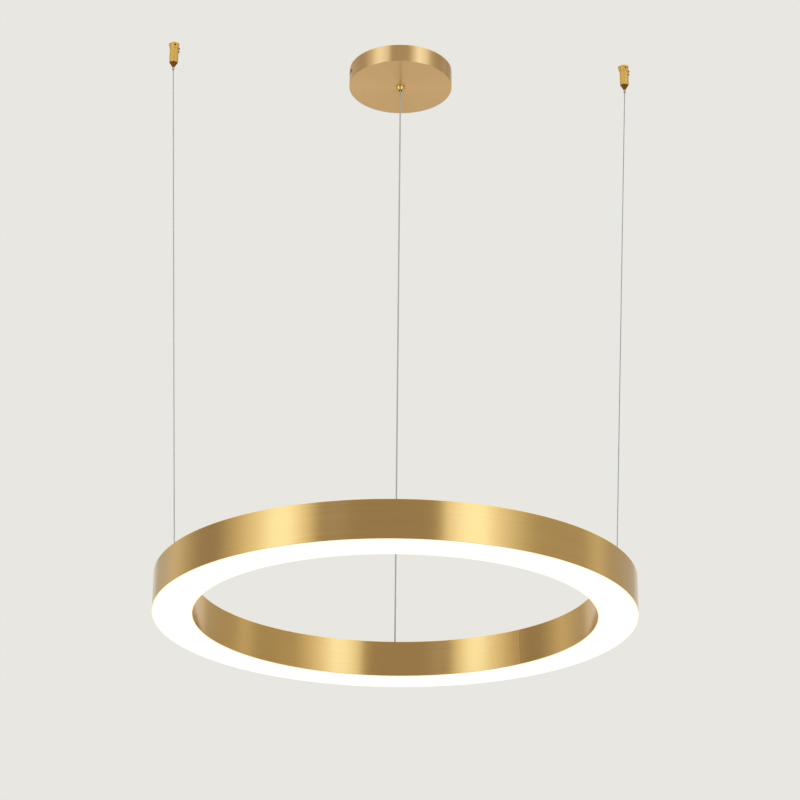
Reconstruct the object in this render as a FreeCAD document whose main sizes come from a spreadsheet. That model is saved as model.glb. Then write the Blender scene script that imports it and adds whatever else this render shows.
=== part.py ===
# LED ring chandelier: a brushed brass ring with an opal underside, hung from a round canopy and
# two cable grippers by three thin cables.
#
# Frame: the origin is the middle of the canopy's ceiling face, +Z is up, and -Y is the front.
# The ceiling is the plane Z = 0. Sizes are in millimetres, angles in degrees.
import FreeCAD
import Part
import math
import os
import re
import Sketcher
from FreeCAD import Rotation, Vector

SIZES = {
    # the ring as a whole
    "outer_radius": 400,  # outside of the outer band
    "ring_width": 66,  # from the outer band's outside to the inner band's inside
    "ring_height": 65,  # from the diffuser's underside to the bands' top edges
    "drop": 1080,  # from the ceiling down to the diffuser's underside
    "ring_forward": 56,  # the ring's axis stands this far in front of the canopy's
    # the two rolled bands and what joins their ends
    "band_wall": 1.2,
    "seam_gap": 0.4,
    "inner_seam_angle": 49,
    "outer_seam_angle": 112.5,
    "splice_angle": 4,
    "splice_thickness": 1.5,
    "splice_height": 34,
    "splice_foot": 20,  # the splice starts this far above the diffuser's underside
    # the top plate, its brackets and their screws
    "plate_recess": 4,  # the plate lies this far below the bands' top edges
    "plate_thickness": 1.5,
    "bracket_count": 12,
    "bracket_phase": 7.5,
    "bracket_width": 12,
    "bracket_leg": 14,
    "bracket_metal": 1.5,
    "bracket_gap": 0.1,
    "bracket_screw_inset": 8,  # the screws stand this far in from the bands' inner faces
    "screw_radius": 1.5,
    "screw_head_radius": 3,
    "screw_head_height": 1.8,
    "screw_length": 6,
    "screw_clearance": 0.1,
    # the aluminium carrier for the lights
    "carrier_height": 26,  # its underside above the diffuser's underside
    "carrier_thickness": 2,
    "carrier_margin": 7,  # from its edges to the bands
    "post_count": 9,
    "post_phase": 20,
    "post_radius": 4,
    "strip_width": 10,
    "strip_thickness": 1,
    "strip_offset": 16,  # each strip's middle stands this far from the ring's mid-width
    "strip_angle": 358.5,
    "inner_chip_count": 64,
    "outer_chip_count": 72,
    "chip_length": 3.5,
    "chip_width": 2.8,
    "chip_thickness": 0.8,
    # the opal diffuser and the clips that hold it
    "flange_thickness": 2,
    "flange_edge": 0.6,
    "diffuser_gap": 0.3,
    "leg_height": 9,
    "leg_thickness": 2,
    "leg_clearance": 0.5,
    "clip_count": 9,
    "clip_phase": 0,
    "clip_width": 14,
    "clip_metal": 1.2,
    "clip_foot": 8,
    "clip_nose": 7,
    "clip_gap": 0.3,
    # the sockets on the ring: a threaded tube, its lock nut, a thumb nut and a ball stop
    "suspension_turn": 4.4,  # the front pair of cables is turned this far about the ring's axis
    "socket_lead": 4.7,  # and its sockets stand this far forward of its anchors
    "tube_bore": 4,
    "tube_radius": 6,
    "tube_above": 5,
    "tube_below": 8,
    "tube_flange_radius": 9,
    "tube_flange": 1.5,
    "lock_nut_radius": 10.4,
    "lock_nut_height": 4.5,
    "thumb_nut_radius": 8.5,
    "thumb_nut_height": 8.2,
    "thumb_nut_gap": 0.3,
    "thumb_nut_mouth": 4.6,
    "thumb_nut_throat": 2.7,
    "thread_gap": 0.06,
    "stop_radius": 3.3,
    "stop_gap": 0.3,
    # the cables
    "cable_radius": 0.8,
    "power_radius": 1.3,
    "cable_clear": 0.5,  # between a cable's end and the fixed tail above it
    "power_clear": 3.6,
    # the two ceiling grippers
    "anchor_half_span": 413,
    "grip_radius": 8,
    "cap_radius": 8.2,
    "cap_flare": 0.5,
    "cap_height": 11,
    "cap_disc": 3,
    "anchor_bore": 2.6,
    "spigot_radius": 6.1,
    "spigot_height": 3.5,
    "shelf_thickness": 2,
    "shelf_bore": 1.5,
    "body_length": 28.5,
    "body_bevel": 1,
    "chamber_radius": 5.6,
    "seat_length": 9,
    "throat_radius": 3.9,
    "throat_length": 1,
    "mouth_radius": 6.9,
    "cone_radius": 6.6,
    "cone_length": 9,
    "tip_length": 5.5,
    "tip_radius": 1.9,
    "tip_ring_radius": 2.3,
    "tip_ring_height": 1.4,
    "tip_bore": 1.3,
    "skirt_length": 3.5,
    "cage_radius": 3.5,
    "cage_length": 14.6,
    "release_travel": 2.5,
    "ball_radius": 1.6,
    "ball_gap": 0.1,
    "seat_gap": 0.3,
    "spring_radius": 2.9,
    "spring_wire": 0.4,
    "spring_turns": 6,
    "cable_entry": 1,  # the cable's end lies this far inside the gripper's tip
    "lug_reach": 2.4,
    "lug_width": 7,
    "lug_height": 9,
    "exit_radius": 1.8,
    "exit_depth": 5,
    "exit_offset": 2.2,
    "nub_radius": 1.9,
    "nub_reach": 1.6,
    "nub_shank": 1.2,
    "nub_depth": 3.4,
    "upper_nub_depth": 9.2,
    "lower_nub_depth": 15.9,
    # the canopy cover, its plate and the screws in its two twist slots
    "canopy_radius": 94.5,
    "canopy_height": 34,
    "canopy_wall": 1.5,
    "canopy_edge": 0.8,
    "ceiling_gap": 0.3,
    "plate_radius": 90,
    "canopy_plate_thickness": 2,
    "side_screw_angle": 15,
    "side_screw_depth": 14,
    "side_screw_radius": 2,
    "side_screw_head": 3.2,
    "side_screw_head_thickness": 1.2,
    "side_screw_gap": 0.3,
    "ear_metal": 2,
    "ear_width": 16,
    "ear_length": 18,
    "ear_inset": 3,
    "twist_angle": 10,
    # holes in the canopy plate
    "fixing_spacing": 70,
    "fixing_slot_length": 14,
    "fixing_slot_radius": 2.25,
    "mains_x": 38,
    "mains_y": -38,
    "grommet_radius": 6,
    "grommet_bore": 4,
    "grommet_flange_radius": 8,
    "grommet_flange": 1.5,
    # the gland that the power cable comes out of
    "gland_radius": 8.8,
    "gland_dome": 6.5,
    "gland_shoulder": 1.6,
    "gland_mouth_radius": 4.8,
    "gland_throat_radius": 1.9,
    "gland_throat_length": 1,
    "gland_bore": 3,
    "gland_stem_radius": 5,
    "gland_stem_length": 12,
    "gland_nut_radius": 8,
    "gland_nut_height": 4,
    # what the canopy holds
    "driver_length": 110,
    "driver_width": 40,
    "driver_height": 20,
    "driver_y": 12,
    "driver_wall": 2,
    "driver_lid": 2,
    "driver_board": 1.6,
    "driver_board_gap": 1,
    "driver_board_lift": 4,
    "terminal_length": 36,
    "terminal_width": 16,
    "terminal_height": 14,
    "terminal_x": -33,
    "terminal_y": -46,
    "terminal_pitch": 11,
    "terminal_hole": 2,
    "terminal_depth": 6,
    "lead_radius": 2.5,
    "output_radius": 1.6,
    "lead_depth": 9,
    "clamp_side": 14,
    "clamp_height": 10,
    "clamp_grip": 5,
    "earth_x": 14,
    "earth_y": -52,
    "earth_radius": 2,
    "earth_length": 10,
    "earth_nut_radius": 3.8,
    "earth_nut_height": 3,
    # the connector in the ring, where the power cable ends
    "connector_length": 22,
    "connector_width": 14,
    "connector_height": 11,
    "ring_lead_radius": 1.3,
}

doc = FreeCAD.newDocument("LedRingChandelier")
sheet = doc.addObject("Spreadsheet::Sheet", "Sizes")
for row, (alias, number) in enumerate(SIZES.items(), 1):
    sheet.set(f"A{row}", str(number))
    sheet.setAlias(f"A{row}", alias)
doc.recompute()

NODES = []


# ---------------------------------------------------------------- formulas and placing


def bound(formula):
    """The formula with each size's name pointing at its cell in the sheet."""
    return re.sub(r"[a-z_]\w*", lambda word: "Sizes." * (word[0] in SIZES) + word[0], formula)


def value(formula):
    """What a formula comes to, in millimetres or degrees."""
    number = sheet.evalExpression(bound(formula))
    return float(getattr(number, "Value", number))


def bind(piece, **formulas):
    for name, formula in formulas.items():
        piece.setExpression(name, bound(formula))
    return piece


def place(piece, spot, turn="0"):
    """Puts a piece's own origin at a spot, turned about the vertical."""
    piece.Placement = FreeCAD.Placement(Vector(0, 0, 0), Rotation(Vector(0, 0, 1), 1))
    for axis, formula in zip("xyz", spot):
        piece.setExpression(f"Placement.Base.{axis}", bound(formula))
    piece.setExpression("Placement.Rotation.Angle", bound(turn))
    return piece


def set_in_body(feature, spot, rotation=None):
    """Puts a feature at a spot of its own body, in a fixed direction."""
    feature.Placement = FreeCAD.Placement(Vector(0, 0, 0), rotation or Rotation())
    for axis, formula in zip("xyz", spot):
        feature.setExpression(f"Placement.Base.{axis}", bound(formula))
    return feature


def node(piece, name):
    """Names a finished sub-part and lists it for export."""
    piece.Label = name
    NODES.append(piece)
    return piece


# ---------------------------------------------------------------- ways of making a piece


def origin_part(body, role):
    return next(part for part in body.Origin.OriginFeatures if part.Role == role)


def corners_sketch(body, name, corners):
    """A closed outline through (radius, height) corners, each tied to the sheet."""
    sketch = body.newObject("Sketcher::SketchObject", name)
    sketch.AttachmentSupport = [(origin_part(body, "XZ_Plane"), "")]
    sketch.MapMode = "FlatFace"
    points = [Vector(value(across), value(up), 0) for across, up in corners]
    for start, end in zip(points, points[1:] + points[:1]):
        sketch.addGeometry(Part.LineSegment(start, end), False)
    for side, corner in enumerate(corners):
        before = (side - 1) % len(corners)
        sketch.addConstraint(Sketcher.Constraint("Coincident", before, 2, side, 1))
        for kind, formula in zip(("DistanceX", "DistanceY"), corner):
            size = Sketcher.Constraint(kind, -1, 1, side, 1, value(formula))
            number = sketch.addConstraint(size)
            sketch.setExpression(f"Constraints[{number}]", bound(formula))
    return sketch


def turned(name, corners, spot, turn="0", sweep="360"):
    """A body turned from an outline about its own upright axis."""
    body = doc.addObject("PartDesign::Body", name)
    sketch = corners_sketch(body, name + "_outline", corners)
    spin = body.newObject("PartDesign::Revolution", name + "_turned")
    spin.Profile = sketch
    spin.ReferenceAxis = (sketch, ["V_Axis"])
    bind(spin, Angle=sweep)
    return place(body, spot, turn)


def feature(body, kind, name, spot, rotation=None, **sizes):
    """One PartDesign primitive, such as AdditiveBox, in a body."""
    made = body.newObject("PartDesign::" + kind, name)
    bind(made, **sizes)
    return set_in_body(made, spot, rotation)


def centred_box(body, kind, name, near, radial, tangential, foot, high):
    """A box that lies across the body's +X axis, from the radius called near outwards."""
    spot = (near, f"-({tangential}) / 2", foot)
    return feature(body, kind, name, spot, Length=radial, Width=tangential, Height=high)


def repeat(body, originals, count, name):
    """Repeats features evenly about the body's own upright axis."""
    pattern = body.newObject("PartDesign::PolarPattern", name)
    pattern.Originals = originals
    pattern.Axis = (origin_part(body, "Z_Axis"), [""])
    pattern.Angle = 360
    bind(pattern, Occurrences=count)
    body.Tip = pattern
    return pattern


def rod(name, radius, start, end):
    """A straight round rod from one spot to another."""
    made = doc.addObject("Part::Cylinder", name)
    way = [f"({last} - ({first}))" for first, last in zip(start, end)]
    length = "sqrt(" + " + ".join(f"{step}^2" for step in way) + ")"
    bind(made, Radius=radius, Height=length)
    direction = Vector(*[value(step) for step in way])
    return set_in_body(made, start, Rotation(Vector(0, 0, 1), direction))


def box(name, length, width, high, spot):
    made = doc.addObject("Part::Box", name)
    bind(made, Length=length, Width=width, Height=high)
    return place(made, spot)


def cylinder(name, radius, high, spot):
    made = doc.addObject("Part::Cylinder", name)
    bind(made, Radius=radius, Height=high)
    return place(made, spot)


def hexagon(name, radius, bore, high, spot):
    """A plain hexagon nut: radius is to its corners."""
    nut = doc.addObject("Part::Prism", name + "_hexagon")
    nut.Polygon = 6
    bind(nut, Circumradius=radius, Height=high)
    return cut(name, place(nut, spot), cylinder(name + "_bore", bore, high, spot))


def cut(name, piece, *tools):
    made = doc.addObject("Part::Cut", name)
    made.Base = piece
    made.Tool = tools[0] if len(tools) == 1 else together(name + "_tools", tools)
    return made


def together(name, pieces):
    made = doc.addObject("Part::Compound", name)
    made.Links = list(pieces)
    return made


# ---------------------------------------------------------------- spots that pieces share


def polar(radius, angle, height):
    """A spot about the ring's axis, at a height above the diffuser's underside."""
    across = f"({radius}) * cos({angle})"
    along = f"({radius}) * sin({angle}) - ring_forward"
    return (across, along, f"{height} - drop")


RING = polar("0", "0", "0")
INNER_RADIUS = "(outer_radius - ring_width)"
MID_RADIUS = "(outer_radius - ring_width / 2)"
OUTER_FACE = "(outer_radius - band_wall)"
INNER_FACE = f"({INNER_RADIUS} + band_wall)"
PLATE_TOP = "(ring_height - plate_recess)"
PLATE_FOOT = f"({PLATE_TOP} - plate_thickness)"
CARRIER_TOP = "(carrier_height + carrier_thickness)"
OUTER_SCREWS = f"({OUTER_FACE} - bracket_screw_inset)"
INNER_SCREWS = f"({INNER_FACE} + bracket_screw_inset)"
SCREW_HOLE = "(screw_radius + screw_clearance)"

SOCKET_ANGLES = {
    "left": "(180 + suspension_turn + socket_lead)",
    "right": "(suspension_turn - socket_lead)",
    "rear": "90",
}
ANCHOR_ANGLES = {"left": "(180 + suspension_turn)", "right": "suspension_turn"}

# The ball stop's middle, so far under the thumb nut's seat that the two lie stop_gap apart.
NUT_FOOT = f"({PLATE_TOP} + tube_flange + thumb_nut_gap)"
SEAT_FOOT = "(tube_above + 0.5 - tube_flange - thumb_nut_gap)"
SEAT_RISE = "(tube_bore + thread_gap - thumb_nut_throat)"
SEAT_SUM = f"({NUT_FOOT} + {SEAT_FOOT} + tube_bore + thread_gap)"
STOP_HEIGHT = f"({SEAT_SUM} - sqrt(2) * (stop_radius + stop_gap))"

GRIP_LENGTH = "(tip_length + cone_length + body_length + cap_height)"
BODY_FOOT = "(tip_length + cone_length)"
BODY_TOP = f"({BODY_FOOT} + body_length)"
THROAT_FOOT = f"({BODY_FOOT} + skirt_length + release_travel + seat_gap)"
SEAT_START = f"({THROAT_FOOT} + throat_length)"
SHELF_TOP = f"({BODY_TOP} + spigot_height)"
SHELF_FOOT = f"({SHELF_TOP} - shelf_thickness)"
CAGE_TOP = f"({BODY_FOOT} + skirt_length + cage_length)"
SEAT_SLOPE = "((chamber_radius - throat_radius) / seat_length)"
BALL_ORBIT = "(cable_radius + ball_gap + ball_radius)"
BALL_REACH = f"((ball_radius + seat_gap) * sqrt(1 + {SEAT_SLOPE}^2))"
BALL_HEIGHT = f"({SEAT_START} + ({BALL_ORBIT} + {BALL_REACH} - throat_radius) / {SEAT_SLOPE})"

COVER_FOOT = "(0 - canopy_height)"
PLATE_UNDER = "(0 - canopy_plate_thickness)"
POWER_TOP = "(canopy_height + gland_throat_length / 2)"


def socket_spot(side, height):
    return polar(MID_RADIUS, SOCKET_ANGLES[side], height)


def anchor_spot(side, depth):
    """A spot on a gripper's axis, so far below the ceiling."""
    angle = ANCHOR_ANGLES[side]
    across = f"anchor_half_span * cos({angle})"
    return (across, f"anchor_half_span * sin({angle}) - ring_forward", f"0 - ({depth})")


# ---------------------------------------------------------------- the ring


def seam_tool(name, radius, angle):
    """The slit between a rolled band's two ends."""
    tool = doc.addObject("Part::Box", name)
    bind(tool, Length="4 * band_wall", Width="seam_gap", Height="2 * ring_height")
    near = f"({radius} - 2 * band_wall)"
    across = f"{near} * cos({angle}) + seam_gap / 2 * sin({angle})"
    along = f"{near} * sin({angle}) - seam_gap / 2 * cos({angle}) - ring_forward"
    return place(tool, (across, along, "0 - drop - ring_height / 2"), angle)


def band(name, inside, outside, seam_angle):
    foot = "flange_thickness + diffuser_gap"
    corners = [(inside, foot), (outside, foot), (outside, "ring_height"), (inside, "ring_height")]
    strip = turned(name + "_strip", corners, RING)
    node(cut(name, strip, seam_tool(name + "_seam", outside, seam_angle)), name)


def splice(name, inside, outside, seam_angle):
    """The plate behind a band's seam, bent to the band."""
    top = "splice_foot + splice_height"
    corners = [
        (inside, "splice_foot"),
        (outside, "splice_foot"),
        (outside, top),
        (inside, top),
    ]
    start = f"{seam_angle} - splice_angle / 2"
    node(turned(name, corners, RING, turn=start, sweep="splice_angle"), name)


def bands():
    band("outer_band", OUTER_FACE, "outer_radius", "outer_seam_angle")
    band("inner_band", INNER_RADIUS, INNER_FACE, "inner_seam_angle")
    outside = f"{OUTER_FACE} - bracket_gap"
    splice("outer_splice", f"{outside} - splice_thickness", outside, "outer_seam_angle")
    inside = f"{INNER_FACE} + bracket_gap"
    splice("inner_splice", inside, f"{inside} + splice_thickness", "inner_seam_angle")


def hole_row(body, name, radius, angle, count, foot, high):
    """A row of screw holes through a flat ring."""
    spot = (f"{radius} * cos({angle})", f"{radius} * sin({angle})", foot)
    hole = feature(body, "SubtractiveCylinder", name, spot, Radius=SCREW_HOLE, Height=high)
    return repeat(body, [hole], count, name + "_row")


def top_plate():
    corners = [
        (INNER_FACE, PLATE_FOOT),
        (OUTER_FACE, PLATE_FOOT),
        (OUTER_FACE, PLATE_TOP),
        (INNER_FACE, PLATE_TOP),
    ]
    plate = turned("top_plate", corners, RING)
    high = "plate_thickness"
    hole_row(plate, "outer_hole", OUTER_SCREWS, "bracket_phase", "bracket_count", PLATE_FOOT, high)
    hole_row(plate, "inner_hole", INNER_SCREWS, "bracket_phase", "bracket_count", PLATE_FOOT, high)
    hole_row(plate, "post_hole", MID_RADIUS, "post_phase", "post_count", PLATE_FOOT, high)
    for side, angle in SOCKET_ANGLES.items():
        spot = (f"{MID_RADIUS} * cos({angle})", f"{MID_RADIUS} * sin({angle})", PLATE_FOOT)
        size = {"Radius": "tube_radius", "Height": high}
        feature(plate, "SubtractiveCylinder", f"socket_hole_{side}", spot, **size)
    node(plate, "top_plate")


def ring_of(name, phase, count, build):
    """One small piece repeated round the ring, as separate solids."""
    body = doc.addObject("PartDesign::Body", name)
    repeat(body, build(body), count, name + "_round")
    return place(body, RING, phase)


def group(name, *pieces):
    """Identical or paired pieces that share one node."""
    node(together(name, pieces), name)


def bracket(wall, inward):
    """An angle bracket between a band and the top plate; inward is -1 in the outer band."""

    def build(body):
        width = "bracket_width"
        if inward < 0:
            upright_near = f"{wall} - bracket_gap - bracket_metal"
            level_near = f"{wall} - bracket_gap - bracket_leg"
            hole_at = OUTER_SCREWS
        else:
            upright_near = f"{wall} + bracket_gap"
            level_near = upright_near
            hole_at = INNER_SCREWS
        foot = f"{PLATE_FOOT} - bracket_leg"
        level_foot = f"{PLATE_FOOT} - bracket_metal"
        metal, leg = "bracket_metal", "bracket_leg"
        return [
            centred_box(body, "AdditiveBox", "upright", upright_near, metal, width, foot, leg),
            centred_box(body, "AdditiveBox", "level", level_near, leg, width, level_foot, metal),
            feature(
                body,
                "SubtractiveCylinder",
                "screw_hole",
                (hole_at, "0", level_foot),
                Radius=SCREW_HOLE,
                Height=metal,
            ),
        ]

    return build


def screw(radius, underside, down=True):
    """A pan-head screw; its head bears on underside, and its shank points down or up."""

    def build(body):
        head_foot, shank_foot = underside, f"{underside} - screw_length"
        if not down:
            head_foot, shank_foot = f"{underside} - screw_head_height", underside
        head = {"Radius": "screw_head_radius", "Height": "screw_head_height"}
        shank = {"Radius": "screw_radius", "Height": "screw_length"}
        return [
            feature(body, "AdditiveCylinder", "head", (radius, "0", head_foot), **head),
            feature(body, "AdditiveCylinder", "shank", (radius, "0", shank_foot), **shank),
        ]

    return build


def brackets_and_screws():
    row = ("bracket_phase", "bracket_count")
    group(
        "band_brackets",
        ring_of("outer_brackets", *row, bracket(OUTER_FACE, -1)),
        ring_of("inner_brackets", *row, bracket(INNER_FACE, 1)),
    )
    group(
        "plate_screws",
        ring_of("outer_plate_screws", *row, screw(OUTER_SCREWS, PLATE_TOP)),
        ring_of("inner_plate_screws", *row, screw(INNER_SCREWS, PLATE_TOP)),
    )


def post(body):
    """A round spacer between the top plate and the carrier, drilled right through."""
    high = f"{PLATE_FOOT} - {CARRIER_TOP}"
    spot = (MID_RADIUS, "0", CARRIER_TOP)
    return [
        feature(body, "AdditiveCylinder", "spacer", spot, Radius="post_radius", Height=high),
        feature(body, "SubtractiveCylinder", "bore", spot, Radius="screw_radius", Height=high),
    ]


def carrier():
    inside = f"{INNER_FACE} + carrier_margin"
    outside = f"{OUTER_FACE} - carrier_margin"
    corners = [
        (inside, "carrier_height"),
        (outside, "carrier_height"),
        (outside, CARRIER_TOP),
        (inside, CARRIER_TOP),
    ]
    plate = turned("led_carrier", corners, RING)
    row = ("post_phase", "post_count")
    hole_row(plate, "carrier_hole", MID_RADIUS, *row, "carrier_height", "carrier_thickness")
    node(plate, "led_carrier")
    group("carrier_posts", ring_of("posts", *row, post))
    group("post_screws", ring_of("upper_screws", *row, screw(MID_RADIUS, PLATE_TOP)))
    lower = screw(MID_RADIUS, "carrier_height", down=False)
    group("carrier_screws", ring_of("lower_screws", *row, lower))


def light_strip(side, middle, count):
    """A flexible light strip, its ends a little apart, and the chips under it."""
    foot = "carrier_height - strip_thickness"
    inside = f"{middle} - strip_width / 2"
    outside = f"{middle} + strip_width / 2"
    corners = [
        (inside, foot),
        (outside, foot),
        (outside, "carrier_height"),
        (inside, "carrier_height"),
    ]

    def chip(body):
        near = f"{middle} - chip_length / 2"
        box_size = ("chip_length", "chip_width", f"{foot} - chip_thickness", "chip_thickness")
        return [centred_box(body, "AdditiveBox", "chip", near, *box_size)]

    strip = turned(f"strip_{side}", corners, RING, sweep="strip_angle")
    return strip, ring_of(f"chips_{side}", f"180 / {count}", count, chip)


def lights():
    inner = light_strip("inner", f"({MID_RADIUS} - strip_offset)", "inner_chip_count")
    outer = light_strip("outer", f"({MID_RADIUS} + strip_offset)", "outer_chip_count")
    group("led_strips", inner[0], outer[0])
    group("led_chips", inner[1], outer[1])


def diffuser():
    outer_leg = f"({OUTER_FACE} - leg_clearance)"
    inner_leg = f"({INNER_FACE} + leg_clearance)"
    leg_top = "flange_thickness + leg_height"
    corners = [
        (f"{INNER_RADIUS} + flange_edge", "0"),
        ("outer_radius - flange_edge", "0"),
        ("outer_radius", "flange_edge"),
        ("outer_radius", "flange_thickness"),
        (outer_leg, "flange_thickness"),
        (outer_leg, leg_top),
        (f"{outer_leg} - leg_thickness", leg_top),
        (f"{outer_leg} - leg_thickness", "flange_thickness"),
        (f"{inner_leg} + leg_thickness", "flange_thickness"),
        (f"{inner_leg} + leg_thickness", leg_top),
        (inner_leg, leg_top),
        (inner_leg, "flange_thickness"),
        (INNER_RADIUS, "flange_thickness"),
        (INNER_RADIUS, "flange_edge"),
    ]
    node(turned("diffuser", corners, RING), "diffuser")


def clip(outer):
    """A spring clip: its foot is fixed to the band and its nose hangs inside the leg."""

    def build(body):
        leg_foot = "flange_thickness + leg_height"
        reach = "leg_clearance + leg_thickness + clip_gap + clip_metal"
        length = f"{reach} - bracket_gap"
        if outer:
            near = f"{OUTER_FACE} - ({reach})"
            nose_near = near
        else:
            near = f"{INNER_FACE} + bracket_gap"
            nose_near = f"{INNER_FACE} + {reach} - clip_metal"
        foot = f"{leg_foot} + clip_gap"
        nose_foot = f"{foot} - clip_nose"
        width, metal = "clip_width", "clip_metal"
        nose_size = (metal, width, nose_foot, "clip_nose")
        return [
            centred_box(body, "AdditiveBox", "foot", near, length, width, foot, "clip_foot"),
            centred_box(body, "AdditiveBox", "nose", nose_near, *nose_size),
        ]

    return build


def clips():
    row = ("clip_phase", "clip_count")
    group(
        "diffuser_clips",
        ring_of("outer_clips", *row, clip(outer=True)),
        ring_of("inner_clips", *row, clip(outer=False)),
    )


# ---------------------------------------------------------------- the sockets on the ring


def socket(side):
    """The threaded tube in the top plate; its thumb nut is a node of its own."""
    flange_foot = "tube_below + plate_thickness"
    flange_top = f"{flange_foot} + tube_flange"
    tube_top = f"{flange_foot} + tube_above"
    corners = [
        ("tube_bore", "0"),
        ("tube_radius", "0"),
        ("tube_radius", flange_foot),
        ("tube_flange_radius", flange_foot),
        ("tube_flange_radius", flange_top),
        ("tube_radius", flange_top),
        ("tube_radius", tube_top),
        ("tube_bore", tube_top),
    ]
    tube = turned(f"tube_{side}", corners, socket_spot(side, f"{PLATE_FOOT} - tube_below"))

    thread = "tube_radius + thread_gap"
    seat = "tube_bore + thread_gap"
    throat_foot = f"{SEAT_FOOT} + {SEAT_RISE}"
    corners = [
        (thread, "0"),
        ("thumb_nut_radius", "0"),
        ("thumb_nut_radius", "thumb_nut_height"),
        ("thumb_nut_mouth", "thumb_nut_height"),
        ("thumb_nut_throat", f"{throat_foot} + 0.2"),
        ("thumb_nut_throat", throat_foot),
        (seat, SEAT_FOOT),
        (thread, SEAT_FOOT),
    ]
    name = f"thumb_nut_{side}"
    node(turned(name, corners, socket_spot(side, NUT_FOOT)), name)
    return tube


def sockets():
    group("socket_tubes", *[socket(side) for side in SOCKET_ANGLES])


def lock_nuts():
    nuts = []
    for side in SOCKET_ANGLES:
        spot = socket_spot(side, f"{PLATE_FOOT} - lock_nut_height")
        size = ("lock_nut_radius", "tube_radius", "lock_nut_height")
        nuts.append(hexagon(f"lock_nut_{side}", *size, spot))
    group("lock_nuts", *nuts)


def cable(side, radius, top):
    """A cable from its ball stop up to its upper end, and the ball drilled to take it."""
    start = socket_spot(side, STOP_HEIGHT)
    node(rod(f"cable_{side}", radius, start, top), f"cable_{side}")
    ball = doc.addObject("Part::Sphere", f"ball_{side}")
    bind(ball, Radius="stop_radius")
    drill = rod(f"stop_drill_{side}", radius, start, top)
    node(cut(f"cable_stop_{side}", place(ball, start), drill), f"cable_stop_{side}")


def connector():
    """The block in the ring that the power cable's wires go into, and the lead that feeds it."""
    near = f"{MID_RADIUS} - connector_length / 2"
    block = doc.addObject("PartDesign::Body", "ring_connector")
    size = ("connector_length", "connector_width", CARRIER_TOP, "connector_height")
    centred_box(block, "AdditiveBox", "block", near, *size)
    node(place(block, RING, SOCKET_ANGLES["rear"]), "ring_connector")
    top = socket_spot("rear", f"{STOP_HEIGHT} - stop_radius")
    foot = socket_spot("rear", f"{CARRIER_TOP} + connector_height")
    node(rod("ring_lead", "ring_lead_radius", foot, top), "ring_lead")


# ---------------------------------------------------------------- the ceiling grippers

SIDEWAYS = Rotation(Vector(0, 1, 0), 90)
FORWARD = Rotation(Vector(1, 0, 0), 90)


def gripper(side):
    foot = anchor_spot(side, GRIP_LENGTH)
    gripper_cap(side, foot)
    gripper_body(side, foot)
    plunger(side, foot)
    gripper_inside(side, foot)
    gripper_screws(side, foot)


def gripper_cap(side, foot):
    disc_foot = f"({GRIP_LENGTH} - cap_disc)"
    corners = [
        ("spigot_radius", BODY_TOP),
        ("cap_radius", BODY_TOP),
        ("cap_radius", f"{GRIP_LENGTH} - cap_height / 4"),
        ("cap_radius + cap_flare", GRIP_LENGTH),
        ("anchor_bore", GRIP_LENGTH),
        ("anchor_bore", disc_foot),
        ("spigot_radius - 1.3", disc_foot),
        ("spigot_radius", f"{disc_foot} - 1.3"),
    ]
    cap = turned(f"gripper_cap_{side}", corners, foot, "suspension_turn")
    # The wedge's own Y axis points up here, so that it is widest at the ceiling.
    feature(
        cap,
        "AdditiveWedge",
        f"lug_{side}",
        ("0 - cap_radius", "lug_width / 2", f"{GRIP_LENGTH} - lug_height"),
        FORWARD,
        Xmin="0",
        X2min="0 - lug_reach",
        Xmax="cap_radius - spigot_radius",
        X2max="cap_radius - spigot_radius",
        Ymin="0",
        Ymax="lug_height",
        Zmin="0",
        Z2min="0",
        Zmax="lug_width",
        Z2max="lug_width",
    )
    exit_spot = ("exit_offset", "0 - spigot_radius + 1.6", f"{GRIP_LENGTH} - exit_depth")
    feature(
        cap,
        "SubtractiveCylinder",
        f"exit_{side}",
        exit_spot,
        FORWARD,
        Radius="exit_radius",
        Height="cap_radius",
    )
    nub_spot = ("spigot_radius - 1", "0", f"{GRIP_LENGTH} - upper_nub_depth")
    nub = {"Radius": "nub_shank", "Height": "cap_radius"}
    feature(cap, "SubtractiveCylinder", f"upper_hole_{side}", nub_spot, SIDEWAYS, **nub)
    node(cap, f"gripper_cap_{side}")


def gripper_body(side, foot):
    corners = [
        ("mouth_radius", BODY_FOOT),
        ("grip_radius - body_bevel * 0.8", BODY_FOOT),
        ("grip_radius", f"{BODY_FOOT} + body_bevel"),
        ("grip_radius", BODY_TOP),
        ("spigot_radius", BODY_TOP),
        ("spigot_radius", SHELF_TOP),
        ("shelf_bore", SHELF_TOP),
        ("shelf_bore", SHELF_FOOT),
        ("chamber_radius", SHELF_FOOT),
        ("chamber_radius", f"{SEAT_START} + seat_length"),
        ("throat_radius", SEAT_START),
        ("throat_radius", THROAT_FOOT),
        ("mouth_radius", THROAT_FOOT),
    ]
    body = turned(f"gripper_body_{side}", corners, foot, "suspension_turn")
    for name, reach, depth in (
        ("upper_seat", "cap_radius", "upper_nub_depth"),
        ("lower_hole", "grip_radius", "lower_nub_depth"),
    ):
        spot = (f"{reach} - nub_depth", "0", f"{GRIP_LENGTH} - {depth}")
        size = {"Radius": "nub_shank", "Height": "nub_depth"}
        feature(body, "SubtractiveCylinder", f"{name}_{side}", spot, SIDEWAYS, **size)
    node(body, f"gripper_body_{side}")


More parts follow.
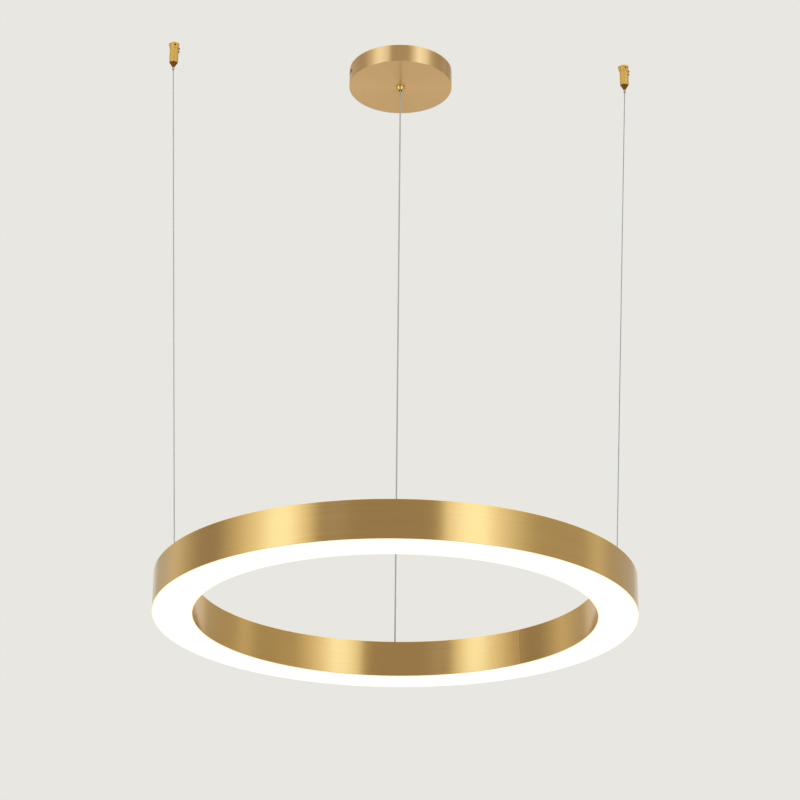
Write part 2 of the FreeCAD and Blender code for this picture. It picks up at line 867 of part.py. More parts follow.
def plunger(side, foot):
    """The release plunger: pushed up, it lifts its three balls off the cable."""
    skirt_top = f"{BODY_FOOT} + skirt_length"
    corners = [
        ("tip_bore", "0"),
        ("tip_ring_radius", "0"),
        ("tip_ring_radius", "tip_ring_height"),
        ("tip_radius", "tip_ring_height"),
        ("tip_radius", "tip_length"),
        ("cone_radius", BODY_FOOT),
        ("cone_radius", skirt_top),
        ("cage_radius", skirt_top),
        ("cage_radius", CAGE_TOP),
        ("tip_bore", CAGE_TOP),
    ]
    body = turned(f"gripper_plunger_{side}", corners, foot)
    size = {"Radius": "ball_radius + ball_gap", "Height": "2 * cage_radius"}
    for way in range(3):
        outwards = Rotation(Vector(0, 0, 1), 120 * way).multiply(SIDEWAYS)
        name = f"ball_window_{way}_{side}"
        feature(body, "SubtractiveCylinder", name, ("0", "0", BALL_HEIGHT), outwards, **size)
    node(body, f"gripper_plunger_{side}")

    balls = doc.addObject("PartDesign::Body", f"gripper_balls_{side}")
    spot = (BALL_ORBIT, "0", BALL_HEIGHT)
    ball = feature(balls, "AdditiveSphere", f"ball_one_{side}", spot, Radius="ball_radius")
    repeat(balls, [ball], "3", f"balls_round_{side}")
    node(place(balls, foot), f"gripper_balls_{side}")


def gripper_inside(side, foot):
    """The coil spring over the plunger, and the cable's fixed tail through the gripper."""
    spring = doc.addObject("PartDesign::Body", f"gripper_spring_{side}")
    wire = spring.newObject("Sketcher::SketchObject", f"spring_wire_{side}")
    wire.AttachmentSupport = [(origin_part(spring, "XZ_Plane"), "")]
    wire.MapMode = "FlatFace"
    start = f"{CAGE_TOP} + seat_gap + spring_wire"
    middle = Vector(value("spring_radius"), value(start), 0)
    wire.addGeometry(Part.Circle(middle, Vector(0, 0, 1), value("spring_wire")), False)
    for kind, place_of, formula in (
        ("DistanceX", (-1, 1, 0, 3), "spring_radius"),
        ("DistanceY", (-1, 1, 0, 3), start),
        ("Radius", (0,), "spring_wire"),
    ):
        size = Sketcher.Constraint(kind, *place_of, value(formula))
        number = wire.addConstraint(size)
        wire.setExpression(f"Constraints[{number}]", bound(formula))
    coil = spring.newObject("PartDesign::AdditiveHelix", f"spring_coil_{side}")
    coil.Profile = wire
    coil.ReferenceAxis = (wire, ["V_Axis"])
    coil.Mode = "height-turns-angle"
    high = f"({SHELF_FOOT} - seat_gap - spring_wire - ({start}))"
    bind(coil, Height=high, Turns="spring_turns")
    node(place(spring, foot), f"gripper_spring_{side}")

    tail_foot = anchor_spot(side, f"{GRIP_LENGTH} - cable_entry - cable_clear")
    tail_top = anchor_spot(side, f"{GRIP_LENGTH} - {SHELF_TOP}")
    node(rod(f"cable_tail_{side}", "cable_radius", tail_foot, tail_top), f"cable_tail_{side}")


def gripper_screws(side, foot):
    """The two small screws in a gripper's right side."""
    screws = doc.addObject("PartDesign::Body", f"gripper_screws_{side}")
    for name, face, depth in (
        ("upper", "cap_radius", "upper_nub_depth"),
        ("lower", "grip_radius", "lower_nub_depth"),
    ):
        height = f"{GRIP_LENGTH} - {depth}"
        shank = {"Radius": "nub_shank", "Height": "nub_depth"}
        head = {"Radius": "nub_radius", "Height": "nub_reach"}
        shank_spot = (f"{face} - nub_depth", "0", height)
        kind = "AdditiveCylinder"
        feature(screws, kind, f"{name}_shank_{side}", shank_spot, SIDEWAYS, **shank)
        feature(screws, kind, f"{name}_head_{side}", (face, "0", height), SIDEWAYS, **head)
    node(place(screws, foot, "suspension_turn"), f"gripper_screws_{side}")


# ---------------------------------------------------------------- the canopy


def canopy_cover():
    inside = "canopy_radius - canopy_wall"
    rim = "canopy_height - ceiling_gap"
    corners = [
        ("gland_stem_radius", "0"),
        ("canopy_radius - canopy_edge", "0"),
        ("canopy_radius", "canopy_edge"),
        ("canopy_radius", rim),
        (inside, rim),
        (inside, "canopy_wall"),
        ("gland_stem_radius", "canopy_wall"),
    ]
    cover = turned("canopy_cover", corners, ("0", "0", COVER_FOOT), turn="side_screw_angle")
    # Each twist slot runs back from its screw, and then up through the rim.
    slot_half = "(side_screw_radius + side_screw_gap)"
    travel = "(canopy_radius * sin(twist_angle))"
    near = "canopy_radius - 3 * canopy_wall"
    slot_foot = f"canopy_height - side_screw_depth - {slot_half}"
    level = feature(
        cover,
        "SubtractiveBox",
        "slot_level",
        (near, f"0 - {travel} - {slot_half}", slot_foot),
        Length="6 * canopy_wall",
        Width=f"{travel} + 2 * {slot_half}",
        Height=f"2 * {slot_half}",
    )
    upright = feature(
        cover,
        "SubtractiveBox",
        "slot_upright",
        (near, f"0 - {travel} - {slot_half}", slot_foot),
        Length="6 * canopy_wall",
        Width=f"2 * {slot_half}",
        Height="canopy_height",
    )
    repeat(cover, [level, upright], "2", "slots")
    node(cover, "canopy_cover")


def canopy_plate():
    spot = ("0", "0", PLATE_UNDER)
    disc = cylinder("plate_disc", "plate_radius", "canopy_plate_thickness", spot)
    tools = []
    for side, sign in (("left", "0 -"), ("right", "")):
        middle = f"({sign} fixing_spacing / 2)"
        straight = "(fixing_slot_length - 2 * fixing_slot_radius)"
        start = (f"{middle} - {straight} / 2", "0 - fixing_slot_radius", PLATE_UNDER)
        wide = "2 * fixing_slot_radius"
        tools.append(box(f"slot_{side}", straight, wide, "canopy_plate_thickness", start))
        for end, shift in (("a", "-"), ("b", "+")):
            spot = (f"{middle} {shift} {straight} / 2", "0", PLATE_UNDER)
            name = f"slot_end_{side}_{end}"
            tools.append(cylinder(name, "fixing_slot_radius", "canopy_plate_thickness", spot))
    for name, radius, across, along in (
        ("mains_hole", "grommet_radius", "mains_x", "mains_y"),
        ("earth_hole", "earth_radius", "earth_x", "earth_y"),
    ):
        spot = (across, along, PLATE_UNDER)
        tools.append(cylinder(name, radius, "canopy_plate_thickness", spot))
    fused = doc.addObject("Part::MultiFuse", "plate_holes")
    fused.Shapes = tools
    node(cut("canopy_plate", disc, fused), "canopy_plate")


def plate_ears():
    """The two ears under the plate that the side screws go into, and those screws."""
    ears = doc.addObject("PartDesign::Body", "plate_ears")
    screws = doc.addObject("PartDesign::Body", "side_screws")
    near = "(plate_radius - ear_inset - ear_metal)"
    head_near = "(canopy_radius + side_screw_gap)"
    screw_end = f"({head_near} + side_screw_head_thickness)"
    foot = f"{PLATE_UNDER} - ear_length"
    height = "0 - side_screw_depth"
    ear_size = ("ear_metal", "ear_width", foot, "ear_length")
    bore = {"Radius": "side_screw_radius", "Height": "ear_metal"}
    shank = {"Radius": "side_screw_radius", "Height": f"{screw_end} - {near}"}
    head = {"Radius": "side_screw_head", "Height": "side_screw_head_thickness"}
    starts = {
        "right": (near, near, head_near),
        "left": (f"0 - {near} - ear_metal", f"0 - {screw_end}", f"0 - {screw_end}"),
    }
    for side, (ear_at, shank_at, head_at) in starts.items():
        centred_box(ears, "AdditiveBox", f"ear_{side}", ear_at, *ear_size)
        spot = (ear_at, "0", height)
        feature(ears, "SubtractiveCylinder", f"ear_hole_{side}", spot, SIDEWAYS, **bore)
        spot = (shank_at, "0", height)
        feature(screws, "AdditiveCylinder", f"side_shank_{side}", spot, SIDEWAYS, **shank)
        spot = (head_at, "0", height)
        feature(screws, "AdditiveCylinder", f"side_head_{side}", spot, SIDEWAYS, **head)
    node(place(ears, ("0", "0", "0"), "side_screw_angle"), "plate_ears")
    node(place(screws, ("0", "0", "0"), "side_screw_angle"), "side_screws")


def gland():
    """The polished gland under the cover, flared below and above its throat, and its nut."""
    stem_top = "gland_dome + gland_stem_length"
    flare = "(gland_bore - gland_throat_radius)"
    corners = [
        ("gland_mouth_radius", "0"),
        ("gland_mouth_radius + 0.7", "0"),
        ("gland_radius - 1", "gland_dome - gland_shoulder - 1"),
        ("gland_radius", "gland_dome - gland_shoulder"),
        ("gland_radius", "gland_dome"),
        ("gland_stem_radius", "gland_dome"),
        ("gland_stem_radius", stem_top),
        ("gland_bore", stem_top),
        ("gland_bore", f"gland_dome + {flare}"),
        ("gland_throat_radius", "gland_dome"),
        ("gland_throat_radius", "gland_dome - gland_throat_length"),
    ]
    node(turned("canopy_gland", corners, ("0", "0", f"{COVER_FOOT} - gland_dome")), "canopy_gland")
    spot = ("0", "0", f"{COVER_FOOT} + canopy_wall")
    size = ("gland_nut_radius", "gland_stem_radius", "gland_nut_height")
    node(hexagon("gland_nut", *size, spot), "gland_nut")


def driver():
    """The light's power supply: a plastic case, its lid against the plate, and its board."""
    left = "0 - driver_length / 2"
    lid_foot = f"{PLATE_UNDER} - driver_lid"
    case_foot = f"{lid_foot} - driver_height"
    size = ("driver_length", "driver_width")
    case = box("driver_block", *size, "driver_height", (left, "driver_y", case_foot))
    hollow = box(
        "driver_hollow",
        "driver_length - 2 * driver_wall",
        "driver_width - 2 * driver_wall",
        "driver_height - driver_wall",
        (f"{left} + driver_wall", "driver_y + driver_wall", f"{case_foot} + driver_wall"),
    )
    node(cut("driver_case", case, hollow), "driver_case")
    node(box("driver_lid", *size, "driver_lid", (left, "driver_y", lid_foot)), "driver_lid")
    inset = "(driver_wall + driver_board_gap)"
    board = box(
        "driver_board",
        f"driver_length - 2 * {inset}",
        f"driver_width - 2 * {inset}",
        "driver_board",
        (f"{left} + {inset}", f"driver_y + {inset}", f"{case_foot} + driver_wall"),
    )
    node(board, "driver_board")


def terminals():
    """The mains terminal block, the earth stud, the grommet, the leads and the cord clamp."""
    block_foot = f"{PLATE_UNDER} - terminal_height"
    spot = ("terminal_x", "terminal_y", block_foot)
    block = box("terminal_body", "terminal_length", "terminal_width", "terminal_height", spot)
    holes = []
    for pole in range(3):
        across = f"terminal_x + terminal_length / 2 + ({pole} - 1) * terminal_pitch"
        start = (across, "terminal_y", f"{block_foot} + terminal_height / 2")
        end = (across, "terminal_y + terminal_depth", start[2])
        holes.append(rod(f"pole_{pole}", "terminal_hole", start, end))
    node(cut("terminal_block", block, *holes), "terminal_block")

    corners = [
        ("0", "0"),
        ("earth_radius", "0"),
        ("earth_radius", "earth_length - canopy_plate_thickness - earth_nut_height"),
        ("earth_nut_radius", "earth_length - canopy_plate_thickness - earth_nut_height"),
        ("earth_nut_radius", "earth_length - canopy_plate_thickness"),
        ("earth_radius", "earth_length - canopy_plate_thickness"),
        ("earth_radius", "earth_length"),
        ("0", "earth_length"),
    ]
    spot = ("earth_x", "earth_y", "0 - earth_length")
    node(turned("earth_stud", corners, spot), "earth_stud")

    corners = [
        ("grommet_bore", "0"),
        ("grommet_flange_radius", "0"),
        ("grommet_flange_radius", "grommet_flange"),
        ("grommet_radius", "grommet_flange"),
        ("grommet_radius", "grommet_flange + canopy_plate_thickness"),
        ("grommet_bore", "grommet_flange + canopy_plate_thickness"),
    ]
    spot = ("mains_x", "mains_y", f"{PLATE_UNDER} - grommet_flange")
    node(turned("mains_grommet", corners, spot), "mains_grommet")

    across = "terminal_x + terminal_length / 2"
    depth = f"{PLATE_UNDER} - lead_depth"
    start = (across, "terminal_y + terminal_width", depth)
    node(rod("input_lead", "lead_radius", start, (across, "driver_y", depth)), "input_lead")
    start = ("0", "clamp_side / 2", depth)
    node(rod("output_lead", "output_radius", start, ("0", "driver_y", depth)), "output_lead")

    half = "0 - clamp_side / 2"
    spot = (half, half, f"{PLATE_UNDER} - clamp_height")
    block = box("clamp_block", "clamp_side", "clamp_side", "clamp_height", spot)
    foot = ("0", "0", f"power_clear - {POWER_TOP}")
    top = ("0", "0", f"{PLATE_UNDER} - clamp_height + clamp_grip")
    drill = rod("clamp_drill", "power_radius", foot, top)
    node(cut("cord_clamp", block, drill), "cord_clamp")
    node(rod("power_tail", "power_radius", foot, top), "power_tail")


# ---------------------------------------------------------------- the whole chandelier

bands()
top_plate()
brackets_and_screws()
carrier()
lights()
diffuser()
clips()
sockets()
lock_nuts()
for where in ANCHOR_ANGLES:
    cable(where, "cable_radius", anchor_spot(where, f"{GRIP_LENGTH} - cable_entry"))
    gripper(where)
cable("rear", "power_radius", ("0", "0", f"0 - {POWER_TOP}"))
connector()
canopy_cover()
canopy_plate()
plate_ears()
gland()
driver()
terminals()
doc.recompute()

failed = [piece.Name for piece in doc.Objects if {"Invalid", "Error"} & set(piece.State)]
failed += [piece.Label for piece in NODES if piece.Shape.isNull() or not piece.Shape.isValid()]
if failed:
    raise RuntimeError(f"these pieces failed: {failed}")

os.makedirs("parts", exist_ok=True)
for piece in NODES:
    piece.Shape.exportStep(f"parts/{piece.Label}.step")
    print(f"{piece.Label}: {len(piece.Shape.Solids)} solids, {piece.Shape.Volume:.1f} mm3")
print(f"{len(NODES)} nodes")
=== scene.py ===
# %% [markdown]
# # A brushed brass light ring, hung by three thin cables
#
# The construction model is the fixed frame: it gives every piece its place and size. This lesson
# dresses it. The pieces that the eye rests on are modelled again with soft edges and fine detail,
# and the small hidden ones keep their shape and get a finish of their own.

import math

import bmesh
import bpy
from mathutils import Matrix, Vector


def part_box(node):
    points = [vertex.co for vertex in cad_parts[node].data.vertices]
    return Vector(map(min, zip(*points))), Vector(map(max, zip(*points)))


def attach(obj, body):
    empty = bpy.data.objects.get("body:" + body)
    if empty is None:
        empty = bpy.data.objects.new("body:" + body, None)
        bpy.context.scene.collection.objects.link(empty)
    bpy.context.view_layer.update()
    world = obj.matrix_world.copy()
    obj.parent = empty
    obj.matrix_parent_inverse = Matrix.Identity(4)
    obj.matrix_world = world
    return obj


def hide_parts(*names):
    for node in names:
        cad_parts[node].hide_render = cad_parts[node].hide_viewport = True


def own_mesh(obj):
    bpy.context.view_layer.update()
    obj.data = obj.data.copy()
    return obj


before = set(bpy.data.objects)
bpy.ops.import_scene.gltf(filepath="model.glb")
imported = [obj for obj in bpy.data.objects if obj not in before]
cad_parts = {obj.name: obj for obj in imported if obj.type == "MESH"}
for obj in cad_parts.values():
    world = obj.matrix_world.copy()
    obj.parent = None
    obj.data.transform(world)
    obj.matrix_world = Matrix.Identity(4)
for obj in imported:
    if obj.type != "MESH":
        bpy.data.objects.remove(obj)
scene = bpy.context.scene
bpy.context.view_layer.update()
MM = 0.001
UP = Vector((0, 0, 1))


def low(node):
    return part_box(node)[0]


def high(node):
    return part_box(node)[1]


def centre(node):
    return (low(node) + high(node)) / 2


RING = centre("diffuser")
OUTER_RADIUS = (high("diffuser").x - low("diffuser").x) / 2
RING_FOOT = low("diffuser").z
RING_TOP = high("outer_band").z
BAND_FOOT = low("outer_band").z
BAND_WALL = 1.2 * MM
INNER_FACE = (high("inner_band").x - low("inner_band").x) / 2
INNER_RADIUS = INNER_FACE - BAND_WALL
print(f"ring: {OUTER_RADIUS / MM:.1f} mm outside, {INNER_RADIUS / MM:.1f} mm inside")

# %% [markdown]
# ## Selecting by hand, in code
#
# An operator works on whatever is selected, so each step starts with a clean selection. These
# helpers put one piece in edit mode, pick faces or edges by their place, and apply a modifier.


# %% Helpers for edit mode
def alone(piece):
    bpy.ops.object.select_all(action="DESELECT")
    piece.select_set(True)
    bpy.context.view_layer.objects.active = piece


def edit(mode="EDGE"):
    bpy.ops.object.mode_set(mode="EDIT")
    bpy.ops.mesh.select_mode(type=mode)
    bpy.ops.mesh.select_all(action="DESELECT")


def leave_edit():
    bpy.ops.object.mode_set(mode="OBJECT")


def pick(piece, kind, wanted):
    """Selects the faces, edges or verts of the piece in edit mode for which wanted() is true."""
    mesh = bmesh.from_edit_mesh(piece.data)
    for element in getattr(mesh, kind):
        if wanted(element):
            element.select_set(True)
    bmesh.update_edit_mesh(piece.data)


def modify(piece, kind, **settings):
    """Adds a modifier and applies it."""
    alone(piece)
    modifier = piece.modifiers.new(kind.title(), kind)
    for name, value in settings.items():
        setattr(modifier, name, value)
    bpy.ops.object.modifier_apply(modifier=modifier.name)


def soften(piece, width, segments=2, angle=35):
    """Rounds the sharp edges and keeps the broad faces flat."""
    modify(
        piece,
        "BEVEL",
        width=width,
        segments=segments,
        limit_method="ANGLE",
        angle_limit=math.radians(angle),
        use_clamp_overlap=True,
    )
    alone(piece)
    bpy.ops.object.shade_smooth_by_angle(angle=math.radians(angle))
    modify(piece, "WEIGHTED_NORMAL", keep_sharp=True)


def settle(piece):
    """Moves the piece's place into its mesh, so that its object sits at the origin."""
    alone(piece)
    bpy.ops.object.transform_apply(location=True, rotation=True, scale=True)
    return piece


# %% [markdown]
# ## Turned pieces
#
# Almost every brass piece here is turned on a lathe or rolled into a hoop, so it has a round
# section. The hand way is to start with a circle, extrude its edge up or down, and scale the new
# edge to the next radius. The last edge is bridged to the first, which closes the wall.


# %% A lathe made of extrude and scale
def turn(name, outline, axis, around=96):
    """Turns a closed outline of (radius, height) corners about an upright axis."""
    radius, height = outline[0]
    bpy.ops.object.select_all(action="DESELECT")
    bpy.ops.mesh.primitive_circle_add(
        vertices=around, radius=radius, location=(axis.x, axis.y, height)
    )
    piece = bpy.context.object
    piece.name = name
    edit()
    bpy.ops.mesh.select_all(action="SELECT")
    for next_radius, next_height in outline[1:]:
        rise = (0, 0, next_height - height)
        bpy.ops.mesh.extrude_edges_move(TRANSFORM_OT_translate={"value": rise})
        scale = next_radius / radius
        middle = (axis.x, axis.y, next_height)
        bpy.ops.transform.resize(value=(scale, scale, 1), center_override=middle)
        radius, height = next_radius, next_height
    bpy.ops.mesh.select_all(action="DESELECT")
    bpy.ops.mesh.select_non_manifold()
    bpy.ops.mesh.bridge_edge_loops()
    bpy.ops.mesh.select_all(action="SELECT")
    bpy.ops.mesh.normals_make_consistent(inside=False)
    leave_edit()
    return settle(piece)


def saw(piece, place, size, angle=0.0):
    """Cuts a box out of the piece: a slit or a slot."""
    bpy.ops.object.select_all(action="DESELECT")
    bpy.ops.mesh.primitive_cube_add(size=1, location=place, rotation=(0, 0, angle))
    blade = bpy.context.object
    blade.scale = size
    modify(piece, "BOOLEAN", object=blade, operation="DIFFERENCE", solver="EXACT")
    bpy.data.objects.remove(blade)


def on_circle(middle, radius, angle, height):
    """The spot on an upright cylinder at an angle in radians."""
    x = middle.x + radius * math.cos(angle)
    y = middle.y + radius * math.sin(angle)
    return Vector((x, y, height))


# %% [markdown]
# ## Node groups that several finishes share
#
# A group only gives masks, colours and heights. The shader itself stays in each material. The
# first group draws the fine lines that a brush leaves round a turned piece: the noise is squeezed
# across the lines and stretched along them, and it follows the distance from the piece's axis, so
# it runs round a wall and round a flat face alike.


# %% The brushed grain
def new_group(name, inputs, outputs):
    tree = bpy.data.node_groups.new(name, "ShaderNodeTree")
    for label, kind, value in inputs:
        socket = tree.interface.new_socket(label, in_out="INPUT", socket_type=kind)
        if value is not None:
            socket.default_value = value
    for label, kind in outputs:
        tree.interface.new_socket(label, in_out="OUTPUT", socket_type=kind)
    start = tree.nodes.new("NodeGroupInput")
    end = tree.nodes.new("NodeGroupOutput")
    return tree, start.outputs, end.inputs


def add(tree, kind, links=None, **settings):
    """Adds a node, sets its properties, and links or fills its inputs."""
    made = tree.nodes.new("ShaderNode" + kind)
    for name, value in settings.items():
        setattr(made, name, value)
    for name, source in (links or {}).items():
        socket = made.inputs[name]
        if isinstance(source, bpy.types.NodeSocket):
            tree.links.new(source, socket)
        else:
            socket.default_value = source
    return made


def sum_up(tree, first, second, operation="ADD"):
    return add(tree, "Math", {0: first, 1: second}, operation=operation).outputs[0]


def brushed_group():
    floats = "NodeSocketFloat"
    tree, given, result = new_group(
        "Brushed grain",
        [
            ("Place", "NodeSocketVector", None),
            ("Lines per metre", floats, 900.0),
            ("Stretch", floats, 6.0),
            ("Contrast", floats, 1.0),
        ],
        [("Grain", floats), ("Drift", floats)],
    )
    split = add(tree, "SeparateXYZ", {0: given["Place"]}).outputs
    square_x = sum_up(tree, split["X"], split["X"], "MULTIPLY")
    square_y = sum_up(tree, split["Y"], split["Y"], "MULTIPLY")
    radius = sum_up(tree, sum_up(tree, square_x, square_y), 0.5, "POWER")
    across = sum_up(tree, radius, split["Z"])
    parts = {
        "X": sum_up(tree, split["X"], given["Stretch"], "MULTIPLY"),
        "Y": sum_up(tree, split["Y"], given["Stretch"], "MULTIPLY"),
        "Z": sum_up(tree, across, given["Lines per metre"], "MULTIPLY"),
    }
    lines = add(tree, "CombineXYZ", parts).outputs[0]
    noise = add(tree, "TexNoise", {"Vector": lines, "Scale": 1.0, "Detail": 3.0})
    centred = sum_up(tree, noise.outputs[0], 0.5, "SUBTRACT")
    spread = sum_up(tree, centred, given["Contrast"], "MULTIPLY")
    clamped = add(tree, "Math", {0: spread, 1: 0.5}, operation="ADD", use_clamp=True)
    tree.links.new(clamped.outputs[0], result["Grain"])
    drift = add(tree, "TexNoise", {"Vector": given["Place"], "Scale": 9.0, "Detail": 2.0})
    tree.links.new(drift.outputs[0], result["Drift"])
    return tree


BRUSHED = brushed_group()

# %% [markdown]
# The second group is for cast, moulded and painted surfaces: a fine speckle for the texture and a
# slow cloud for the colour, so that nothing is one flat tone.


# %% The fine speckle
def speckle_group():
    floats = "NodeSocketFloat"
    tree, given, result = new_group(
        "Fine speckle",
        [("Place", "NodeSocketVector", None), ("Grains per metre", floats, 2500.0)],
        [("Speckle", floats), ("Cloud", floats)],
    )
    place, scale = given["Place"], given["Grains per metre"]
    fine = add(tree, "TexNoise", {"Vector": place, "Scale": scale, "Detail": 2.0})
    slow = add(tree, "TexNoise", {"Vector": place, "Scale": 25.0, "Detail": 3.0})
    tree.links.new(fine.outputs[0], result["Speckle"])
    tree.links.new(slow.outputs[0], result["Cloud"])
    return tree


SPECKLE = speckle_group()


# %% A new material, with its shader and its place on the piece
def new_material(name, axis=None, **sockets):
    material = bpy.data.materials.new(name)
    material.use_nodes = True
    tree = material.node_tree
    shader = tree.nodes["Principled BSDF"]
    for label, value in sockets.items():
        shader.inputs[label.replace("_", " ")].default_value = value
    place = add(tree, "TexCoord").outputs["Object"]
    if axis is not None:
        shift = (-axis.x, -axis.y, 0)
        place = add(tree, "Mapping", {"Vector": place, "Location": shift}).outputs[0]
    return material, tree, shader, place


def blend_colours(tree, factor, dark, light):
    mixed = add(tree, "Mix", {"Factor": factor}, data_type="RGBA")
    mixed.inputs[6].default_value = (*dark, 1)
    mixed.inputs[7].default_value = (*light, 1)
    return mixed.outputs[2]


def stretch_range(tree, factor, lowest, highest):
    links = {"Value": factor, "To Min": lowest, "To Max": highest}
    return add(tree, "MapRange", links).outputs[0]


def raise_by(tree, shader, height, distance, strength=0.3):
    links = {"Height": height, "Distance": distance, "Strength": strength}
    tree.links.new(add(tree, "Bump", links).outputs[0], shader.inputs["Normal"])


# %% [markdown]
# ## Brushed brass
#
# Brushing leaves thousands of grooves that all run the same way. Light spreads across the grooves
# and stays sharp along them, which is what draws the upright bright bands on the hoops and the
# faint fan under the canopy. Principled's anisotropy does this. A radial tangent follows the
# grooves, and a quarter turn sets the spread across them.


# %% Brushed brass for the hoops and the canopy
GROOVE = 0.02 * MM


def brushed_brass(name, axis, dark, light, rough=(0.19, 0.25)):
    facts = {"Metallic": 1.0, "Anisotropic": 0.92, "Anisotropic_Rotation": 0.25}
    material, tree, shader, place = new_material(name, axis, **facts)
    grain = add(tree, "Group", node_tree=BRUSHED)
    tree.links.new(place, grain.inputs["Place"])
    grain.inputs["Contrast"].default_value = 1.1
    fleck = grain.outputs["Grain"]
    tree.links.new(blend_colours(tree, fleck, dark, light), shader.inputs["Base Color"])
    tree.links.new(stretch_range(tree, fleck, *rough), shader.inputs["Roughness"])
    raise_by(tree, shader, fleck, GROOVE, strength=0.06)
    tangent = add(tree, "Tangent", direction_type="RADIAL", axis="Z").outputs[0]
    tree.links.new(tangent, shader.inputs["Tangent"])
    return material


BRASS_DARK = (0.62, 0.395, 0.142)
BRASS_LIGHT = (0.74, 0.475, 0.172)
HOOP_BRASS = brushed_brass("hoop_brass", RING, BRASS_DARK, BRASS_LIGHT)
CANOPY_DARK = (0.65, 0.415, 0.180)
CANOPY_LIGHT = (0.76, 0.485, 0.212)
CANOPY_AXIS = centre("canopy_cover")
CANOPY_ROUGH = (0.27, 0.33)
CANOPY_BRASS = brushed_brass(
    "canopy_brass", CANOPY_AXIS, CANOPY_DARK, CANOPY_LIGHT, CANOPY_ROUGH
)


# %% [markdown]
# ## Polished and plain metals
#
# The grippers and the gland are turned and then polished, so they keep faint tool rings and show
# the room in a soft blur. Zinc, aluminium and wire only differ in colour and roughness.


# %% Polished brass, dark bronze with painted shade, zinc, aluminium and wire
TURNING_LINES = 1500.0


def turned_metal(name, axis, dark, light, rough, bump=0.1):
    material, tree, shader, place = new_material(name, axis, Metallic=1.0)
    grain = add(tree, "Group", node_tree=BRUSHED)
    tree.links.new(place, grain.inputs["Place"])
    grain.inputs["Lines per metre"].default_value = TURNING_LINES
    fleck, drift = grain.outputs["Grain"], grain.outputs["Drift"]
    tree.links.new(blend_colours(tree, drift, dark, light), shader.inputs["Base Color"])
    tree.links.new(stretch_range(tree, fleck, *rough), shader.inputs["Roughness"])
    raise_by(tree, shader, fleck, GROOVE, bump)
    return material


GOLD_DARK = (0.72, 0.44, 0.105)
GOLD_LIGHT = (0.80, 0.50, 0.130)
DARK_BRONZE_AND_SHADE = (0.150, 0.062, 0.008)
LIGHT_BRONZE_AND_SHADE = (0.205, 0.088, 0.012)


def gripper_axis(side):
    return centre(f"gripper_body_{side}")


POLISHED = {
    side: turned_metal(
        f"polished_brass_{side}", gripper_axis(side), GOLD_DARK, GOLD_LIGHT, (0.60, 0.62), bump=0.0
    )
    for side in ("left", "right")
}
# Dark bronze is the gripper screws' own colour. On each plunger cone the same dark colour is
# painted shade.
BRONZE_AND_PAINTED_SHADE = {
    side: turned_metal(
        f"bronze_and_shade_brass_{side}", gripper_axis(side), DARK_BRONZE_AND_SHADE, LIGHT_BRONZE_AND_SHADE, (0.35, 0.45)
    )
    for side in ("left", "right")
}
MIRROR_LIGHT = (0.85, 0.60, 0.20)
MIRROR_BRASS = turned_metal("mirror_brass", Vector(), GOLD_DARK, MIRROR_LIGHT, (0.10, 0.16))
PLAIN_BRASS = turned_metal("plain_brass", RING, (0.58, 0.38, 0.13), (0.66, 0.45, 0.17), (0.3, 0.4))
ZINC = turned_metal("bright_zinc", RING, (0.52, 0.53, 0.55), (0.62, 0.62, 0.62), (0.30, 0.42))
ALUMINIUM = turned_metal(
    "mill_aluminium", RING, (0.78, 0.78, 0.79), (0.86, 0.86, 0.86), (0.35, 0.5)
)
WIRE = turned_metal("bare_wire", Vector(), (0.36, 0.36, 0.36), (0.50, 0.49, 0.48), (0.35, 0.5))


# %% [markdown]
# ## Paint, plastic and rubber


# %% Moulded and painted finishes
RELIEF = 0.02 * MM


def moulded(name, dark, light, rough, grains=2500.0, **sockets):
    material, tree, shader, place = new_material(name, **sockets)
    texture = add(tree, "Group", node_tree=SPECKLE)
    tree.links.new(place, texture.inputs["Place"])
    texture.inputs["Grains per metre"].default_value = grains
    colour = blend_colours(tree, texture.outputs["Cloud"], dark, light)
    tree.links.new(colour, shader.inputs["Base Color"])
    roughness = stretch_range(tree, texture.outputs["Speckle"], *rough)
    tree.links.new(roughness, shader.inputs["Roughness"])
    raise_by(tree, shader, texture.outputs["Speckle"], RELIEF)
    return material


BRONZE_PAINT = moulded("bronze_paint", (0.22, 0.15, 0.08), (0.27, 0.19, 0.105), (0.45, 0.6))
WHITE_PLASTIC = moulded("white_plastic", (0.72, 0.72, 0.70), (0.80, 0.80, 0.78), (0.4, 0.55))
STRIP_WHITE = moulded("strip_white", (0.80, 0.80, 0.76), (0.86, 0.86, 0.83), (0.4, 0.5))
PHOSPHOR = moulded("phosphor_yellow", (0.80, 0.62, 0.12), (0.88, 0.72, 0.20), (0.25, 0.35))
BOARD_GREEN = moulded("board_green", (0.02, 0.13, 0.05), (0.03, 0.18, 0.07), (0.3, 0.45))
RUBBER = moulded("black_rubber", (0.015, 0.015, 0.015), (0.03, 0.03, 0.03), (0.6, 0.8))
SLEEVE = moulded(
    "clear_sleeve", (0.36, 0.35, 0.33), (0.50, 0.48, 0.45), (0.22, 0.32), grains=900.0
)

# %% [markdown]
# ## Opal acrylic, lit from inside
#
# The diffuser glows evenly, a little creamier at its very edges where light leaves through more
# acrylic. A radius mask from the ring's axis gives that rim. It is an emission colour, so the
# lamp looks lit in a bright room without lighting up the whole studio.


# %% The lit diffuser
RIM_WIDTH = 7.0 * MM
RIM_EDGE = 0.2 * MM
GLOW_WHITE = (1.0, 1.0, 0.985)
GLOW_CREAM = (0.62, 0.42, 0.06)


